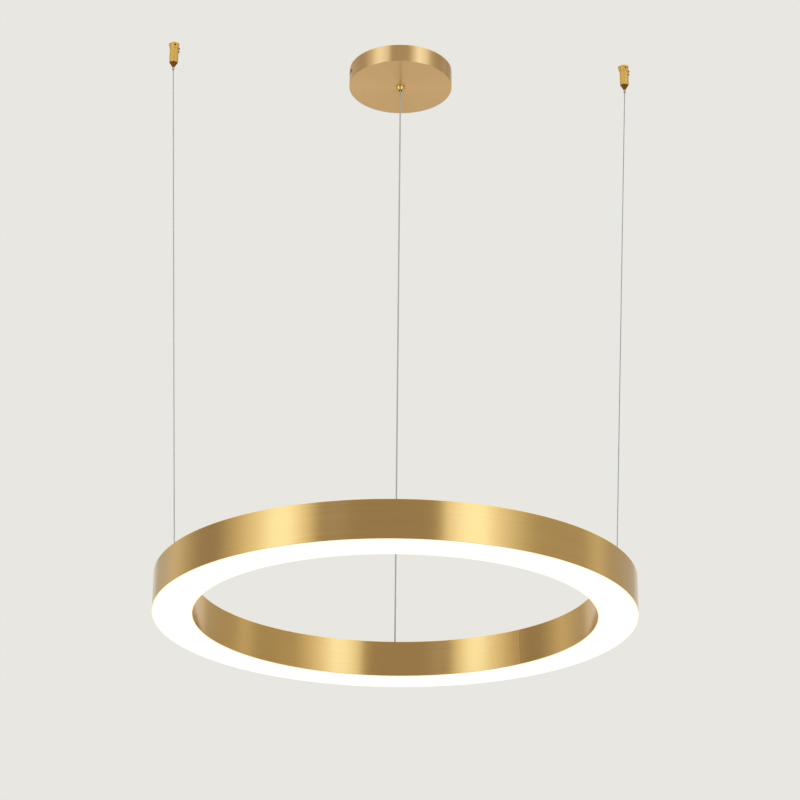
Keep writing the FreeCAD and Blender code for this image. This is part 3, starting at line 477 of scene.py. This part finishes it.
def lit_opal():
    facts = {"Roughness": 0.35, "Emission_Strength": 0.62, "Coat_Weight": 0.1}
    material, tree, shader, place = new_material("lit_opal", RING, **facts)
    split = add(tree, "SeparateXYZ", {0: place}).outputs
    flat = add(tree, "CombineXYZ", {"X": split["X"], "Y": split["Y"]}).outputs[0]
    radius = add(tree, "VectorMath", {0: flat}, operation="LENGTH").outputs["Value"]
    middle, half = (OUTER_RADIUS + INNER_RADIUS) / 2, (OUTER_RADIUS - INNER_RADIUS) / 2
    off_middle = sum_up(tree, sum_up(tree, radius, middle, "SUBTRACT"), 0, "ABSOLUTE")
    links = {"Value": off_middle, "From Min": half - RIM_WIDTH, "From Max": half - RIM_EDGE}
    rim = add(tree, "MapRange", links).outputs[0]
    glow = blend_colours(tree, rim, GLOW_WHITE, GLOW_CREAM)
    tree.links.new(glow, shader.inputs["Emission Color"])
    speckle = add(tree, "Group", node_tree=SPECKLE)
    tree.links.new(place, speckle.inputs["Place"])
    body = blend_colours(tree, speckle.outputs["Cloud"], (0.88, 0.88, 0.86), (0.92, 0.92, 0.91))
    tree.links.new(body, shader.inputs["Base Color"])
    raise_by(tree, shader, speckle.outputs["Speckle"], 0.01 * MM, 0.1)
    return material


OPAL = lit_opal()
print(f"{len(bpy.data.materials)} materials")


# %% Putting a finish on a piece
def dress(piece, material):
    piece.data.materials.clear()
    piece.data.materials.append(material)


def finish_piece(piece, material, body, slot, *nodes):
    """Gives a new piece its finish and its body, and hides the nodes that it stands for. The slot
    is not used.
    """
    dress(piece, material)
    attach(piece, body)
    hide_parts(*nodes)
    print(f"{piece.name}: {len(piece.data.polygons)} faces")


# %% [markdown]
# ## The two hoops
#
# Each hoop is a strip of brass, 1.2 mm thick, rolled round and butted at one seam. A hoop is
# turned from its four corners, sawn through at the seam, and its edges are broken with a fine
# bevel, because a real sheared edge is never knife sharp and catches a line of light.

# %% Outer and inner hoop
AROUND_RING = 288
SEAM_GAP = 0.4 * MM
SAW_REACH = 6 * BAND_WALL
HOOP_EDGE = 0.3 * MM
OUTER_SEAM = math.radians(112.5)
INNER_SEAM = math.radians(49)


def hoop(name, inside, outside, seam):
    corners = [(inside, BAND_FOOT), (outside, BAND_FOOT), (outside, RING_TOP), (inside, RING_TOP)]
    piece = turn(name, corners, RING, AROUND_RING)
    place = on_circle(RING, (inside + outside) / 2, seam, (BAND_FOOT + RING_TOP) / 2)
    saw(piece, place, (SAW_REACH, SEAM_GAP, 2 * (RING_TOP - BAND_FOOT)), seam)
    soften(piece, HOOP_EDGE)
    return piece


outer_hoop = hoop("outer_hoop", OUTER_RADIUS - BAND_WALL, OUTER_RADIUS, OUTER_SEAM)
finish_piece(outer_hoop, HOOP_BRASS, "ring", "brushed_brass", "outer_band")
inner_hoop = hoop("inner_hoop", INNER_RADIUS, INNER_FACE, INNER_SEAM)
finish_piece(inner_hoop, HOOP_BRASS, "ring", "brushed_brass", "inner_band")

# %% [markdown]
# ## The diffuser
#
# A flat opal ring with two legs that stand up between the hoops and catch the clips. Its visible
# edge is rounded, because acrylic is turned and flame polished.

# %% Flange and legs
FLANGE = 2 * MM
LEG = 2 * MM
LEG_TOP = high("diffuser").z
LEG_GAP = 0.5 * MM
OUTER_LEG = OUTER_RADIUS - BAND_WALL - LEG_GAP
INNER_LEG = INNER_FACE + LEG_GAP
FLANGE_TOP = RING_FOOT + FLANGE
diffuser_outline = [
    (INNER_RADIUS, RING_FOOT),
    (OUTER_RADIUS, RING_FOOT),
    (OUTER_RADIUS, FLANGE_TOP),
    (OUTER_LEG, FLANGE_TOP),
    (OUTER_LEG, LEG_TOP),
    (OUTER_LEG - LEG, LEG_TOP),
    (OUTER_LEG - LEG, FLANGE_TOP),
    (INNER_LEG + LEG, FLANGE_TOP),
    (INNER_LEG + LEG, LEG_TOP),
    (INNER_LEG, LEG_TOP),
    (INNER_LEG, FLANGE_TOP),
    (INNER_RADIUS, FLANGE_TOP),
]
opal_ring = turn("opal_ring", diffuser_outline, RING, AROUND_RING)
soften(opal_ring, 0.5 * MM, segments=3)
finish_piece(opal_ring, OPAL, "diffuser", "opal", "diffuser")

# %% [markdown]
# ## The canopy
#
# A spun brass cup. Its edge is rolled to a small radius, and two slots run back from the rim so
# that it can be twisted onto its side screws. Each slot is two saw cuts: one level, one up
# through the rim.

# %% The cup and its twist slots
CANOPY_RADIUS = 94.5 * MM
CANOPY_WALL = 1.5 * MM
CANOPY_FOOT = low("canopy_cover").z
CANOPY_RIM = high("canopy_cover").z
SCREW_ANGLE = math.radians(15)
SCREW_HEIGHT = -14 * MM
SLOT_HALF = 2.3 * MM
SLOT_TALL = 40 * MM
TWIST = CANOPY_RADIUS * math.sin(math.radians(10))
SLOT_REACH = 8 * CANOPY_WALL
STEM_RADIUS = 5 * MM
CUP_EDGE = 1.2 * MM
cup_outline = [
    (STEM_RADIUS, CANOPY_FOOT),
    (CANOPY_RADIUS, CANOPY_FOOT),
    (CANOPY_RADIUS, CANOPY_RIM),
    (CANOPY_RADIUS - CANOPY_WALL, CANOPY_RIM),
    (CANOPY_RADIUS - CANOPY_WALL, CANOPY_FOOT + CANOPY_WALL),
    (STEM_RADIUS, CANOPY_FOOT + CANOPY_WALL),
]
cup = turn("canopy_cup", cup_outline, Vector(), 192)
for angle in (SCREW_ANGLE, SCREW_ANGLE + math.pi):
    along = Vector((-math.sin(angle), math.cos(angle), 0))
    at_screw = on_circle(Vector(), CANOPY_RADIUS, angle, SCREW_HEIGHT)
    level_size = (SLOT_REACH, TWIST + 2 * SLOT_HALF, 2 * SLOT_HALF)
    saw(cup, at_screw - along * TWIST / 2, level_size, angle)
    upright_size = (SLOT_REACH, 2 * SLOT_HALF, SLOT_TALL)
    upright = at_screw - along * TWIST + UP * (SLOT_TALL / 2 - SLOT_HALF)
    saw(cup, upright, upright_size, angle)
soften(cup, CUP_EDGE, segments=3)
finish_piece(cup, CANOPY_BRASS, "canopy", "brushed_brass", "canopy_cover")

# %% [markdown]
# The gland is a small polished trumpet screwed through the middle of the cup. Its outline bulges
# and then curls in to the mouth, so a few corners with a generous bevel give the whole curve.

# %% The polished gland
GLAND_FOOT = low("canopy_gland").z
GLAND_TOP = high("canopy_gland").z
gland_outline = [
    (4.8 * MM, GLAND_FOOT),
    (5.6 * MM, GLAND_FOOT),
    (7.0 * MM, GLAND_FOOT + 1.9 * MM),
    (7.8 * MM, GLAND_FOOT + 3.9 * MM),
    (8.8 * MM, GLAND_FOOT + 4.9 * MM),
    (8.8 * MM, CANOPY_FOOT),
    (STEM_RADIUS - 0.05 * MM, CANOPY_FOOT),
    (STEM_RADIUS - 0.05 * MM, GLAND_TOP),
    (3.0 * MM, GLAND_TOP),
    (3.0 * MM, CANOPY_FOOT + 1.1 * MM),
    (1.9 * MM, CANOPY_FOOT),
    (1.9 * MM, CANOPY_FOOT - 1 * MM),
]
gland = turn("gland", gland_outline, Vector(), 64)
soften(gland, 0.45 * MM, segments=3, angle=12)
finish_piece(gland, MIRROR_BRASS, "canopy", "polished_brass", "canopy_gland")


# %% [markdown]
# ## The cable grippers
#
# A gripper is three turned pieces: a cap that stands on the ceiling, a body, and a cone-shaped
# release plunger that hangs a little out of the body. The cap has a lug on its left, and a dark
# side hole where the spare cable can come out. Both are cut or grown from its turned wall.


# %% Body, cap and plunger
def gripper_body(side):
    node = f"gripper_body_{side}"
    axis, foot, top = centre(node), low(node).z, high(node).z
    shoulder = low(f"gripper_cap_{side}").z
    outline = [
        (6.9 * MM, foot),
        (7.2 * MM, foot),
        (8.0 * MM, foot + 1.0 * MM),
        (8.0 * MM, shoulder - 0.35 * MM),
        (7.7 * MM, shoulder),
        (6.1 * MM, shoulder),
        (6.1 * MM, top),
        (5.0 * MM, top),
        (5.0 * MM, foot + 6.3 * MM),
        (6.9 * MM, foot + 6.3 * MM),
    ]
    piece = turn(f"grip_body_{side}", outline, axis, 64)
    soften(piece, 0.2 * MM)
    finish_piece(piece, POLISHED[side], "ceiling_set", "polished_brass", node)


def gripper_cap(side):
    node = f"gripper_cap_{side}"
    axis, foot, top = gripper_axis(side), low(node).z, high(node).z
    outline = [
        (2.6 * MM, top),
        (8.7 * MM, top),
        (8.2 * MM, top - 2.75 * MM),
        (8.2 * MM, foot + 0.3 * MM),
        (7.9 * MM, foot),
        (6.1 * MM, foot),
        (6.1 * MM, top - 4.3 * MM),
        (4.8 * MM, top - 3 * MM),
        (2.6 * MM, top - 3 * MM),
    ]
    piece = turn(f"grip_cap_{side}", outline, axis, 64)
    grow_lug(piece, axis, top)
    hole = Vector((axis.x + 2.2 * MM, axis.y - 8.2 * MM, top - 5 * MM))
    drill(piece, hole, 1.8 * MM, 9 * MM)
    soften(piece, 0.25 * MM)
    finish_piece(piece, POLISHED[side], "ceiling_set", "polished_brass", node)


def grow_lug(piece, axis, top):
    """A block on the cap's left, its foot pulled in to the wall, joined to the cap."""
    reach, wide, tall = 10.6 * MM, 7 * MM, 9 * MM
    length = reach - 6.4 * MM
    place = (axis.x - reach + length / 2, axis.y, top - tall / 2)
    bpy.ops.object.select_all(action="DESELECT")
    bpy.ops.mesh.primitive_cube_add(size=1, location=place)
    lug = bpy.context.object
    lug.scale = (length, wide, tall)
    settle(lug)
    edit("VERT")
    pick(lug, "verts", lambda vert: vert.co.z < top - tall / 2 and vert.co.x < place[0])
    bpy.ops.transform.translate(value=(2.3 * MM, 0, 0))
    leave_edit()
    modify(piece, "BOOLEAN", object=lug, operation="UNION", solver="EXACT")
    bpy.data.objects.remove(lug)


def drill(piece, place, radius, depth):
    """Drills a hole along Y."""
    bpy.ops.object.select_all(action="DESELECT")
    turned_down = (math.radians(90), 0, 0)
    bpy.ops.mesh.primitive_cylinder_add(
        vertices=32, radius=radius, depth=depth, location=place, rotation=turned_down
    )
    bit = bpy.context.object
    modify(piece, "BOOLEAN", object=bit, operation="DIFFERENCE", solver="EXACT")
    bpy.data.objects.remove(bit)


def gripper_plunger(side):
    node = f"gripper_plunger_{side}"
    axis, foot, top = centre(node), low(node).z, high(node).z
    outline = [
        (1.3 * MM, foot),
        (2.1 * MM, foot),
        (2.3 * MM, foot + 0.3 * MM),
        (2.3 * MM, foot + 1.2 * MM),
        (1.9 * MM, foot + 1.5 * MM),
        (1.9 * MM, foot + 5.0 * MM),
        (2.3 * MM, foot + 5.9 * MM),
        (6.3 * MM, foot + 14.0 * MM),
        (6.6 * MM, foot + 14.6 * MM),
        (6.6 * MM, foot + 18.0 * MM),
        (3.5 * MM, foot + 18.0 * MM),
        (3.5 * MM, top),
        (1.3 * MM, top),
    ]
    piece = turn(f"grip_plunger_{side}", outline, axis, 64)
    soften(piece, 0.15 * MM, angle=20)
    finish_piece(piece, BRONZE_AND_PAINTED_SHADE[side], f"release_{side}", "polished_brass", node)
    # The cone above the tip keeps the dark bronze, which is painted shade. The tip below it gets
    # the polished brass.
    piece.data.materials.append(POLISHED[side])
    for face in piece.data.polygons:
        if face.center.z < foot + 5.2 * MM:
            face.material_index = 1


for side in ("left", "right"):
    gripper_body(side)
    gripper_cap(side)
    gripper_plunger(side)

# %% [markdown]
# ## The thumb nuts
#
# Three round nuts on top of the ring close over the cables' ball ends. Fingers turn them, so the
# rim is fluted: every third face round it is pushed in.


# %% Fluted thumb nuts
FLUTES = 24
FLUTE_DEPTH = 0.45 * MM
NUT_EDGE = 0.12 * MM


def thumb_nut(side):
    node = f"thumb_nut_{side}"
    axis, foot, top = centre(node), low(node).z, high(node).z
    outline = [
        (6.06 * MM, foot),
        (8.0 * MM, foot),
        (8.2 * MM, foot + 0.9 * MM),
        (8.5 * MM, foot + 1.2 * MM),
        (8.5 * MM, top - 1.7 * MM),
        (8.1 * MM, top - 1.3 * MM),
        (7.5 * MM, top),
        (4.6 * MM, top),
        (2.7 * MM, foot + 5.26 * MM),
        (2.7 * MM, foot + 5.06 * MM),
        (4.06 * MM, foot + 3.7 * MM),
        (6.06 * MM, foot + 3.7 * MM),
    ]
    around = 3 * FLUTES
    piece = turn(f"fluted_nut_{side}", outline, axis, around)

    def in_flute(face):
        out = (face.calc_center_median() - axis).xy
        step = int((math.atan2(out.y, out.x) + math.pi) / (2 * math.pi) * around)
        return out.length > 8.4 * MM and abs(face.normal.z) < 0.1 and step % 3 == 0

    edit("FACE")
    pick(piece, "faces", in_flute)
    bpy.ops.mesh.extrude_faces_move(TRANSFORM_OT_shrink_fatten={"value": -FLUTE_DEPTH})
    leave_edit()
    soften(piece, NUT_EDGE)
    finish_piece(piece, MIRROR_BRASS, f"level_{side}", "polished_brass", node)


for side in ("left", "right", "rear"):
    thumb_nut(side)

# %% [markdown]
# ## The screws on top of the ring
#
# One pan-head screw is turned, and two crossing saw cuts make its recess. Copies of it go to
# the spots that the construction model gives, each turned another way, as real screws end up.


# %% Pan-head screws
SCREW_HEAD = 1.8 * MM
RECESS = (0.7 * MM, 3.2 * MM, 2 * MM)
SCREW_TURNS = 5


def screw_spots(node):
    """The foot of each upright screw in a group, found from the group's separate solids."""
    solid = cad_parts[node]
    mesh = bmesh.new()
    mesh.from_mesh(solid.data)
    mesh.transform(solid.matrix_world)
    bmesh.ops.remove_doubles(mesh, verts=mesh.verts, dist=0.001 * MM)
    waiting, spots = set(mesh.verts), []
    while waiting:
        reached, corners = [waiting.pop()], []
        while reached:
            vert = reached.pop()
            corners.append(vert.co)
            near = {edge.other_vert(vert) for edge in vert.link_edges} & waiting
            waiting -= near
            reached += near
        sides = [(min(values) + max(values)) / 2 for values in list(zip(*corners))[:2]]
        spots.append(Vector((*sides, min(corner.z for corner in corners))))
    mesh.free()
    return sorted(spots, key=lambda spot: (round(spot.x, 5), round(spot.y, 5)))


def pan_screws(name, node):
    spots = screw_spots(node)
    tall = high(node).z - low(node).z
    under_head = tall - SCREW_HEAD
    outline = [
        (0.05 * MM, 0),
        (1.2 * MM, 0),
        (1.5 * MM, 0.5 * MM),
        (1.5 * MM, under_head),
        (3.0 * MM, under_head),
        (3.0 * MM, tall - 0.9 * MM),
        (2.2 * MM, tall),
        (0.05 * MM, tall),
    ]
    screw = turn(name, outline, Vector(), 32)
    soften(screw, 0.35 * MM, angle=20)
    for quarter in (0, math.pi / 2):
        saw(screw, (0, 0, tall), RECESS, quarter)
    copies = []
    for spot in spots:
        copy = screw.copy()
        copy.data = screw.data.copy()
        copy.location = spot
        copy.rotation_euler.z = SCREW_TURNS * math.atan2(spot.y - RING.y, spot.x - RING.x)
        scene.collection.objects.link(copy)
        copies.append(copy)
    bpy.data.objects.remove(screw)
    alone(copies[0])
    for copy in copies:
        copy.select_set(True)
    bpy.ops.object.join()
    heads = settle(bpy.context.object)
    heads.name = name
    print(f"{name}: {len(spots)} screws")
    finish_piece(heads, ZINC, "ring", "zinc_steel", node)


pan_screws("plate_pan_screws", "plate_screws")
pan_screws("post_pan_screws", "post_screws")

# %% [markdown]
# ## The cables
#
# Each front cable is wire rope: six strands laid round a core. A strand is a helix along the
# cable's own line, worked out by a loop. The rear cable carries the power in a smooth clear
# sleeve. All three are pulled straight by the ring's weight.


# %% Where each cable runs
LAY = 11 * MM
STEPS = 10
SPANS = 20


def cable_line(side):
    """The two ends of a cable: the middle of its ball stop, and its upper end."""
    stop = centre(f"cable_stop_{side}")
    if side == "rear":
        return stop, Vector((0, 0, high(f"cable_{side}").z))
    return stop, Vector((*gripper_axis(side).xy, high(f"cable_{side}").z))


def helix(start, end, radius, phase):
    """Points of one strand that winds round the line from start to end."""
    along = end - start
    side = along.cross(Vector((0, 1, 0))).normalized()
    other = along.cross(side).normalized()
    count = int(along.length / LAY * STEPS)
    points = []
    for step in range(count + 1):
        turn_angle = phase + 2 * math.pi * step / STEPS
        swing = side * math.cos(turn_angle) + other * math.sin(turn_angle)
        points.append(start + along * (step / count) + swing * radius)
    return points


def straight(start, end):
    return [start.lerp(end, step / SPANS) for step in range(SPANS + 1)]


def wire(name, lines, radius, smoothness):
    """A curve of one or more lines, given a round section and made a mesh."""
    curve = bpy.data.curves.new(name, "CURVE")
    curve.dimensions = "3D"
    curve.bevel_depth = radius
    curve.bevel_resolution = smoothness
    curve.use_fill_caps = True
    for line in lines:
        spline = curve.splines.new("POLY")
        spline.points.add(len(line) - 1)
        for point, place in zip(spline.points, line):
            point.co = (*place, 1)
    piece = bpy.data.objects.new(name, curve)
    scene.collection.objects.link(piece)
    alone(piece)
    bpy.ops.object.convert(target="MESH")
    bpy.ops.object.shade_smooth()
    return piece


# %% Front cables
CABLE = 1.6 * MM
STRANDS = 6
for side in ("left", "right"):
    ends = cable_line(side)
    turns = [number * 2 * math.pi / STRANDS for number in range(STRANDS)]
    strands = [helix(*ends, CABLE / 3, phase) for phase in turns]
    rope = wire(f"wire_rope_{side}", [*strands, ends], CABLE / 6, smoothness=1)
    finish_piece(rope, WIRE, "ring", "wire_rope", f"cable_{side}")

# %% Rear power cable
POWER = 2.6 * MM
power = wire("power_cable", [straight(*cable_line("rear"))], POWER / 2, smoothness=4)
finish_piece(power, SLEEVE, "ring", "power_cable", "cable_rear")

# %% [markdown]
# ## The pieces that keep their shape
#
# Brackets, clips, strips and boards already have the right shape, so they only get a finish.

# %% Finishes for the small parts
KEPT = {
    ZINC: (
        "band_brackets carrier_screws canopy_plate plate_ears"
        " gripper_spring_left gripper_spring_right gripper_balls_left gripper_balls_right"
        " diffuser_clips cable_stop_left cable_stop_right cable_stop_rear"
    ),
    PLAIN_BRASS: (
        "socket_tubes lock_nuts gland_nut earth_stud outer_splice inner_splice side_screws"
    ),
    BRONZE_AND_PAINTED_SHADE["left"]: "gripper_screws_left",
    BRONZE_AND_PAINTED_SHADE["right"]: "gripper_screws_right",
    BRONZE_PAINT: "top_plate",
    ALUMINIUM: "led_carrier carrier_posts",
    STRIP_WHITE: "led_strips",
    PHOSPHOR: "led_chips",
    WIRE: "cable_tail_left cable_tail_right",
    SLEEVE: "power_tail output_lead ring_lead",
    WHITE_PLASTIC: "driver_case driver_lid terminal_block cord_clamp ring_connector",
    BOARD_GREEN: "driver_board",
    RUBBER: "mains_grommet input_lead",
}
for material, names in KEPT.items():
    for name in names.split():
        dress(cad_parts[name], material)

# %% Each gripper spring gets a mesh of its own
for side in ("left", "right"):
    spring = f"gripper_spring_{side}"
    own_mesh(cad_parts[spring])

# %% [markdown]
# ## The studio
#
# A pale room with an even glow, a pale floor far below, and two broad soft lights. Metal only
# looks like metal when it has something to reflect, so a curved wall that only reflections can
# see stands round the front: it is dim, with one bright panel on each side. Each panel has a
# sharper inner edge and fades outwards.

# %% The pale room
BACKDROP = (0.807, 0.799, 0.760)
ROOM_GLOW = (0.52, 0.52, 0.51)
world = bpy.data.worlds.new("pale_room")
scene.world = world
world.use_nodes = True
tree = world.node_tree
glow = tree.nodes["Background"]
ray = add(tree, "LightPath").outputs
seen = sum_up(tree, ray["Is Camera Ray"], ray["Is Glossy Ray"], "MAXIMUM")
seen = sum_up(tree, seen, ray["Is Transmission Ray"], "MAXIMUM")
room = blend_colours(tree, seen, ROOM_GLOW, BACKDROP)
tree.links.new(room, glow.inputs["Color"])
glow.inputs["Strength"].default_value = 1.0

# A faint glow of its own lifts the floor to the tone of the room, and it still takes the shadow.
FLOOR_WIDTH = 160
FLOOR_HEIGHT = -5
FLOOR_GLOW = 0.48
bpy.ops.object.select_all(action="DESELECT")
bpy.ops.mesh.primitive_plane_add(size=FLOOR_WIDTH, location=(0, 0, FLOOR_HEIGHT))
floor = bpy.context.object
floor.name = "floor"
lit = {
    "Emission_Color": (*BACKDROP, 1),
    "Emission_Strength": FLOOR_GLOW,
    "Specular_IOR_Level": 0.0,
}
dress(floor, moulded("pale_floor", BACKDROP, BACKDROP, (0.7, 0.8), grains=300.0, **lit))
floor.visible_glossy = False


# %% The reflection wall
WALL_RADIUS = 3.4
WALL_HEIGHT = 9
WALL_BACK = 2.9
CHANGE_HEIGHTS = (0.7, 1.4)
BRIGHTEST = 2.4
DARK = (0.36, 0.31, 0.26)
DIM = (0.425, 0.400, 0.400)
SOFT = (0.570, 0.560, 0.520)
WARM = (0.840, 0.855, 0.790)
BRIGHT = (1.26, 1.38, 1.48)
PANEL = (1.60, 1.95, 2.40)
GLARE = (1.48, 1.70, 2.10)
RING_WALL = [
    (-140, SOFT),
    (-118, WARM),
    (-106, SOFT),
    (-98, DIM),
    (-86, DIM),
    (-74, WARM),
    (-63, BRIGHT),
    (-55, PANEL),
    (-48, PANEL),
    (-42, BRIGHT),
    (-37, WARM),
    (-33, DARK),
    (-27, DIM),
    (14, DIM),
    (19, SOFT),
    (22, BRIGHT),
    (30, PANEL),
    (38, PANEL),
    (44, BRIGHT),
    (54, WARM),
    (64, SOFT),
    (92, SOFT),
    (103, WARM),
    (114, SOFT),
    (140, SOFT),
]
CANOPY_WALL_LIGHT = [
    (-140, SOFT),
    (-118, SOFT),
    (-84, SOFT),
    (-66, WARM),
    (-46, GLARE),
    (-30, GLARE),
    (-21, SOFT),
    (24, SOFT),
    (33, WARM),
    (40, GLARE),
    (60, GLARE),
    (72, WARM),
    (84, SOFT),
    (104, DIM),
    (118, SOFT),
    (140, DIM),
]


def light_ramp(tree, share, profile):
    """A colour ramp with a stop for each direction on the wall, in degrees from straight ahead."""
    ramp = add(tree, "ValToRGB", {0: share})
    stops = ramp.color_ramp.elements
    for number, (degrees, light) in enumerate(profile):
        spot = degrees / 360 + 0.5
        stop = stops[number] if number < 2 else stops.new(spot)
        stop.position = spot
        stop.color = (*(part / BRIGHTEST for part in light), 1)
    return ramp.outputs[0]


def reflection_wall():
    """A wall that is open at the back, with lights for the ring and, higher, for the canopy."""
    bpy.ops.object.select_all(action="DESELECT")
    bpy.ops.mesh.primitive_cylinder_add(
        vertices=128,
        radius=WALL_RADIUS,
        depth=WALL_HEIGHT,
        end_fill_type="NOTHING",
        location=(*RING.xy, 0),
    )
    wall = bpy.context.object
    wall.name = "reflection_wall"
    edit("FACE")
    pick(wall, "faces", lambda face: face.calc_center_median().y > WALL_BACK)
    bpy.ops.mesh.delete(type="FACE")
    leave_edit()
    material = bpy.data.materials.new("wall_light")
    material.use_nodes = True
    tree = material.node_tree
    tree.nodes.clear()
    split = add(tree, "SeparateXYZ", {0: add(tree, "TexCoord").outputs["Object"]}).outputs
    forward = sum_up(tree, split["Y"], -1, "MULTIPLY")
    angle = sum_up(tree, split["X"], forward, "ARCTAN2")
    links = {"Value": angle, "From Min": -math.pi, "From Max": math.pi}
    share = add(tree, "MapRange", links).outputs[0]
    lowest, highest = CHANGE_HEIGHTS
    links = {"Value": split["Z"], "From Min": lowest, "From Max": highest}
    height = add(tree, "MapRange", links).outputs[0]
    mixed = add(tree, "Mix", {"Factor": height}, data_type="RGBA")
    tree.links.new(light_ramp(tree, share, RING_WALL), mixed.inputs[6])
    tree.links.new(light_ramp(tree, share, CANOPY_WALL_LIGHT), mixed.inputs[7])
    shine = add(tree, "Emission", {"Color": mixed.outputs[2], "Strength": BRIGHTEST})
    add(tree, "OutputMaterial", {"Surface": shine.outputs[0]})
    dress(wall, material)
    for seen_by in ("camera", "diffuse", "shadow", "transmission", "volume_scatter"):
        setattr(wall, "visible_" + seen_by, False)


reflection_wall()


# %% Two soft lights
def soft_light(name, place, target, size, power):
    data = bpy.data.lights.new(name, "AREA")
    data.shape = "RECTANGLE"
    data.size, data.size_y = size
    data.energy = power
    lamp = bpy.data.objects.new(name, data)
    lamp.location = place
    lamp.rotation_euler = (Vector(target) - Vector(place)).to_track_quat("-Z", "Y").to_euler()
    lamp.visible_glossy = False
    scene.collection.objects.link(lamp)


LIT_SPOT = (0, 0, -0.7)
BOX_SIZE = (1.2, 2.4)
soft_light("left_softbox", (-2.3, -2.0, 0.4), LIT_SPOT, BOX_SIZE, power=26)
soft_light("right_softbox", (1.9, -2.4, 0.4), LIT_SPOT, BOX_SIZE, power=22)

# %% [markdown]
# ## The camera
#
# The camera stands in front, well below the ring, and looks up. Its place and lens come from the
# way the two round edges of the ring, the canopy and the grippers lie in the picture.

# %% Camera
FOCAL_PIXELS = 2300
PICTURE_PIXELS = 800
SENSOR = 36
PITCH = math.radians(22.91)
ROLL = 0.0095
YAW = -2.9 / FOCAL_PIXELS
PLACE = Matrix.Translation((0, -3.693, -2.222))
data = bpy.data.cameras.new("photo_camera")
data.lens = SENSOR * FOCAL_PIXELS / PICTURE_PIXELS
data.sensor_width = SENSOR
data.clip_end = 100
camera = bpy.data.objects.new("photo_camera", data)
aim = Matrix.Rotation(YAW, 4, "Z") @ Matrix.Rotation(math.radians(90) + PITCH, 4, "X")
camera.matrix_world = PLACE @ aim @ Matrix.Rotation(ROLL, 4, "Z")
scene.collection.objects.link(camera)
scene.camera = camera
scene.view_settings.view_transform = "Standard"
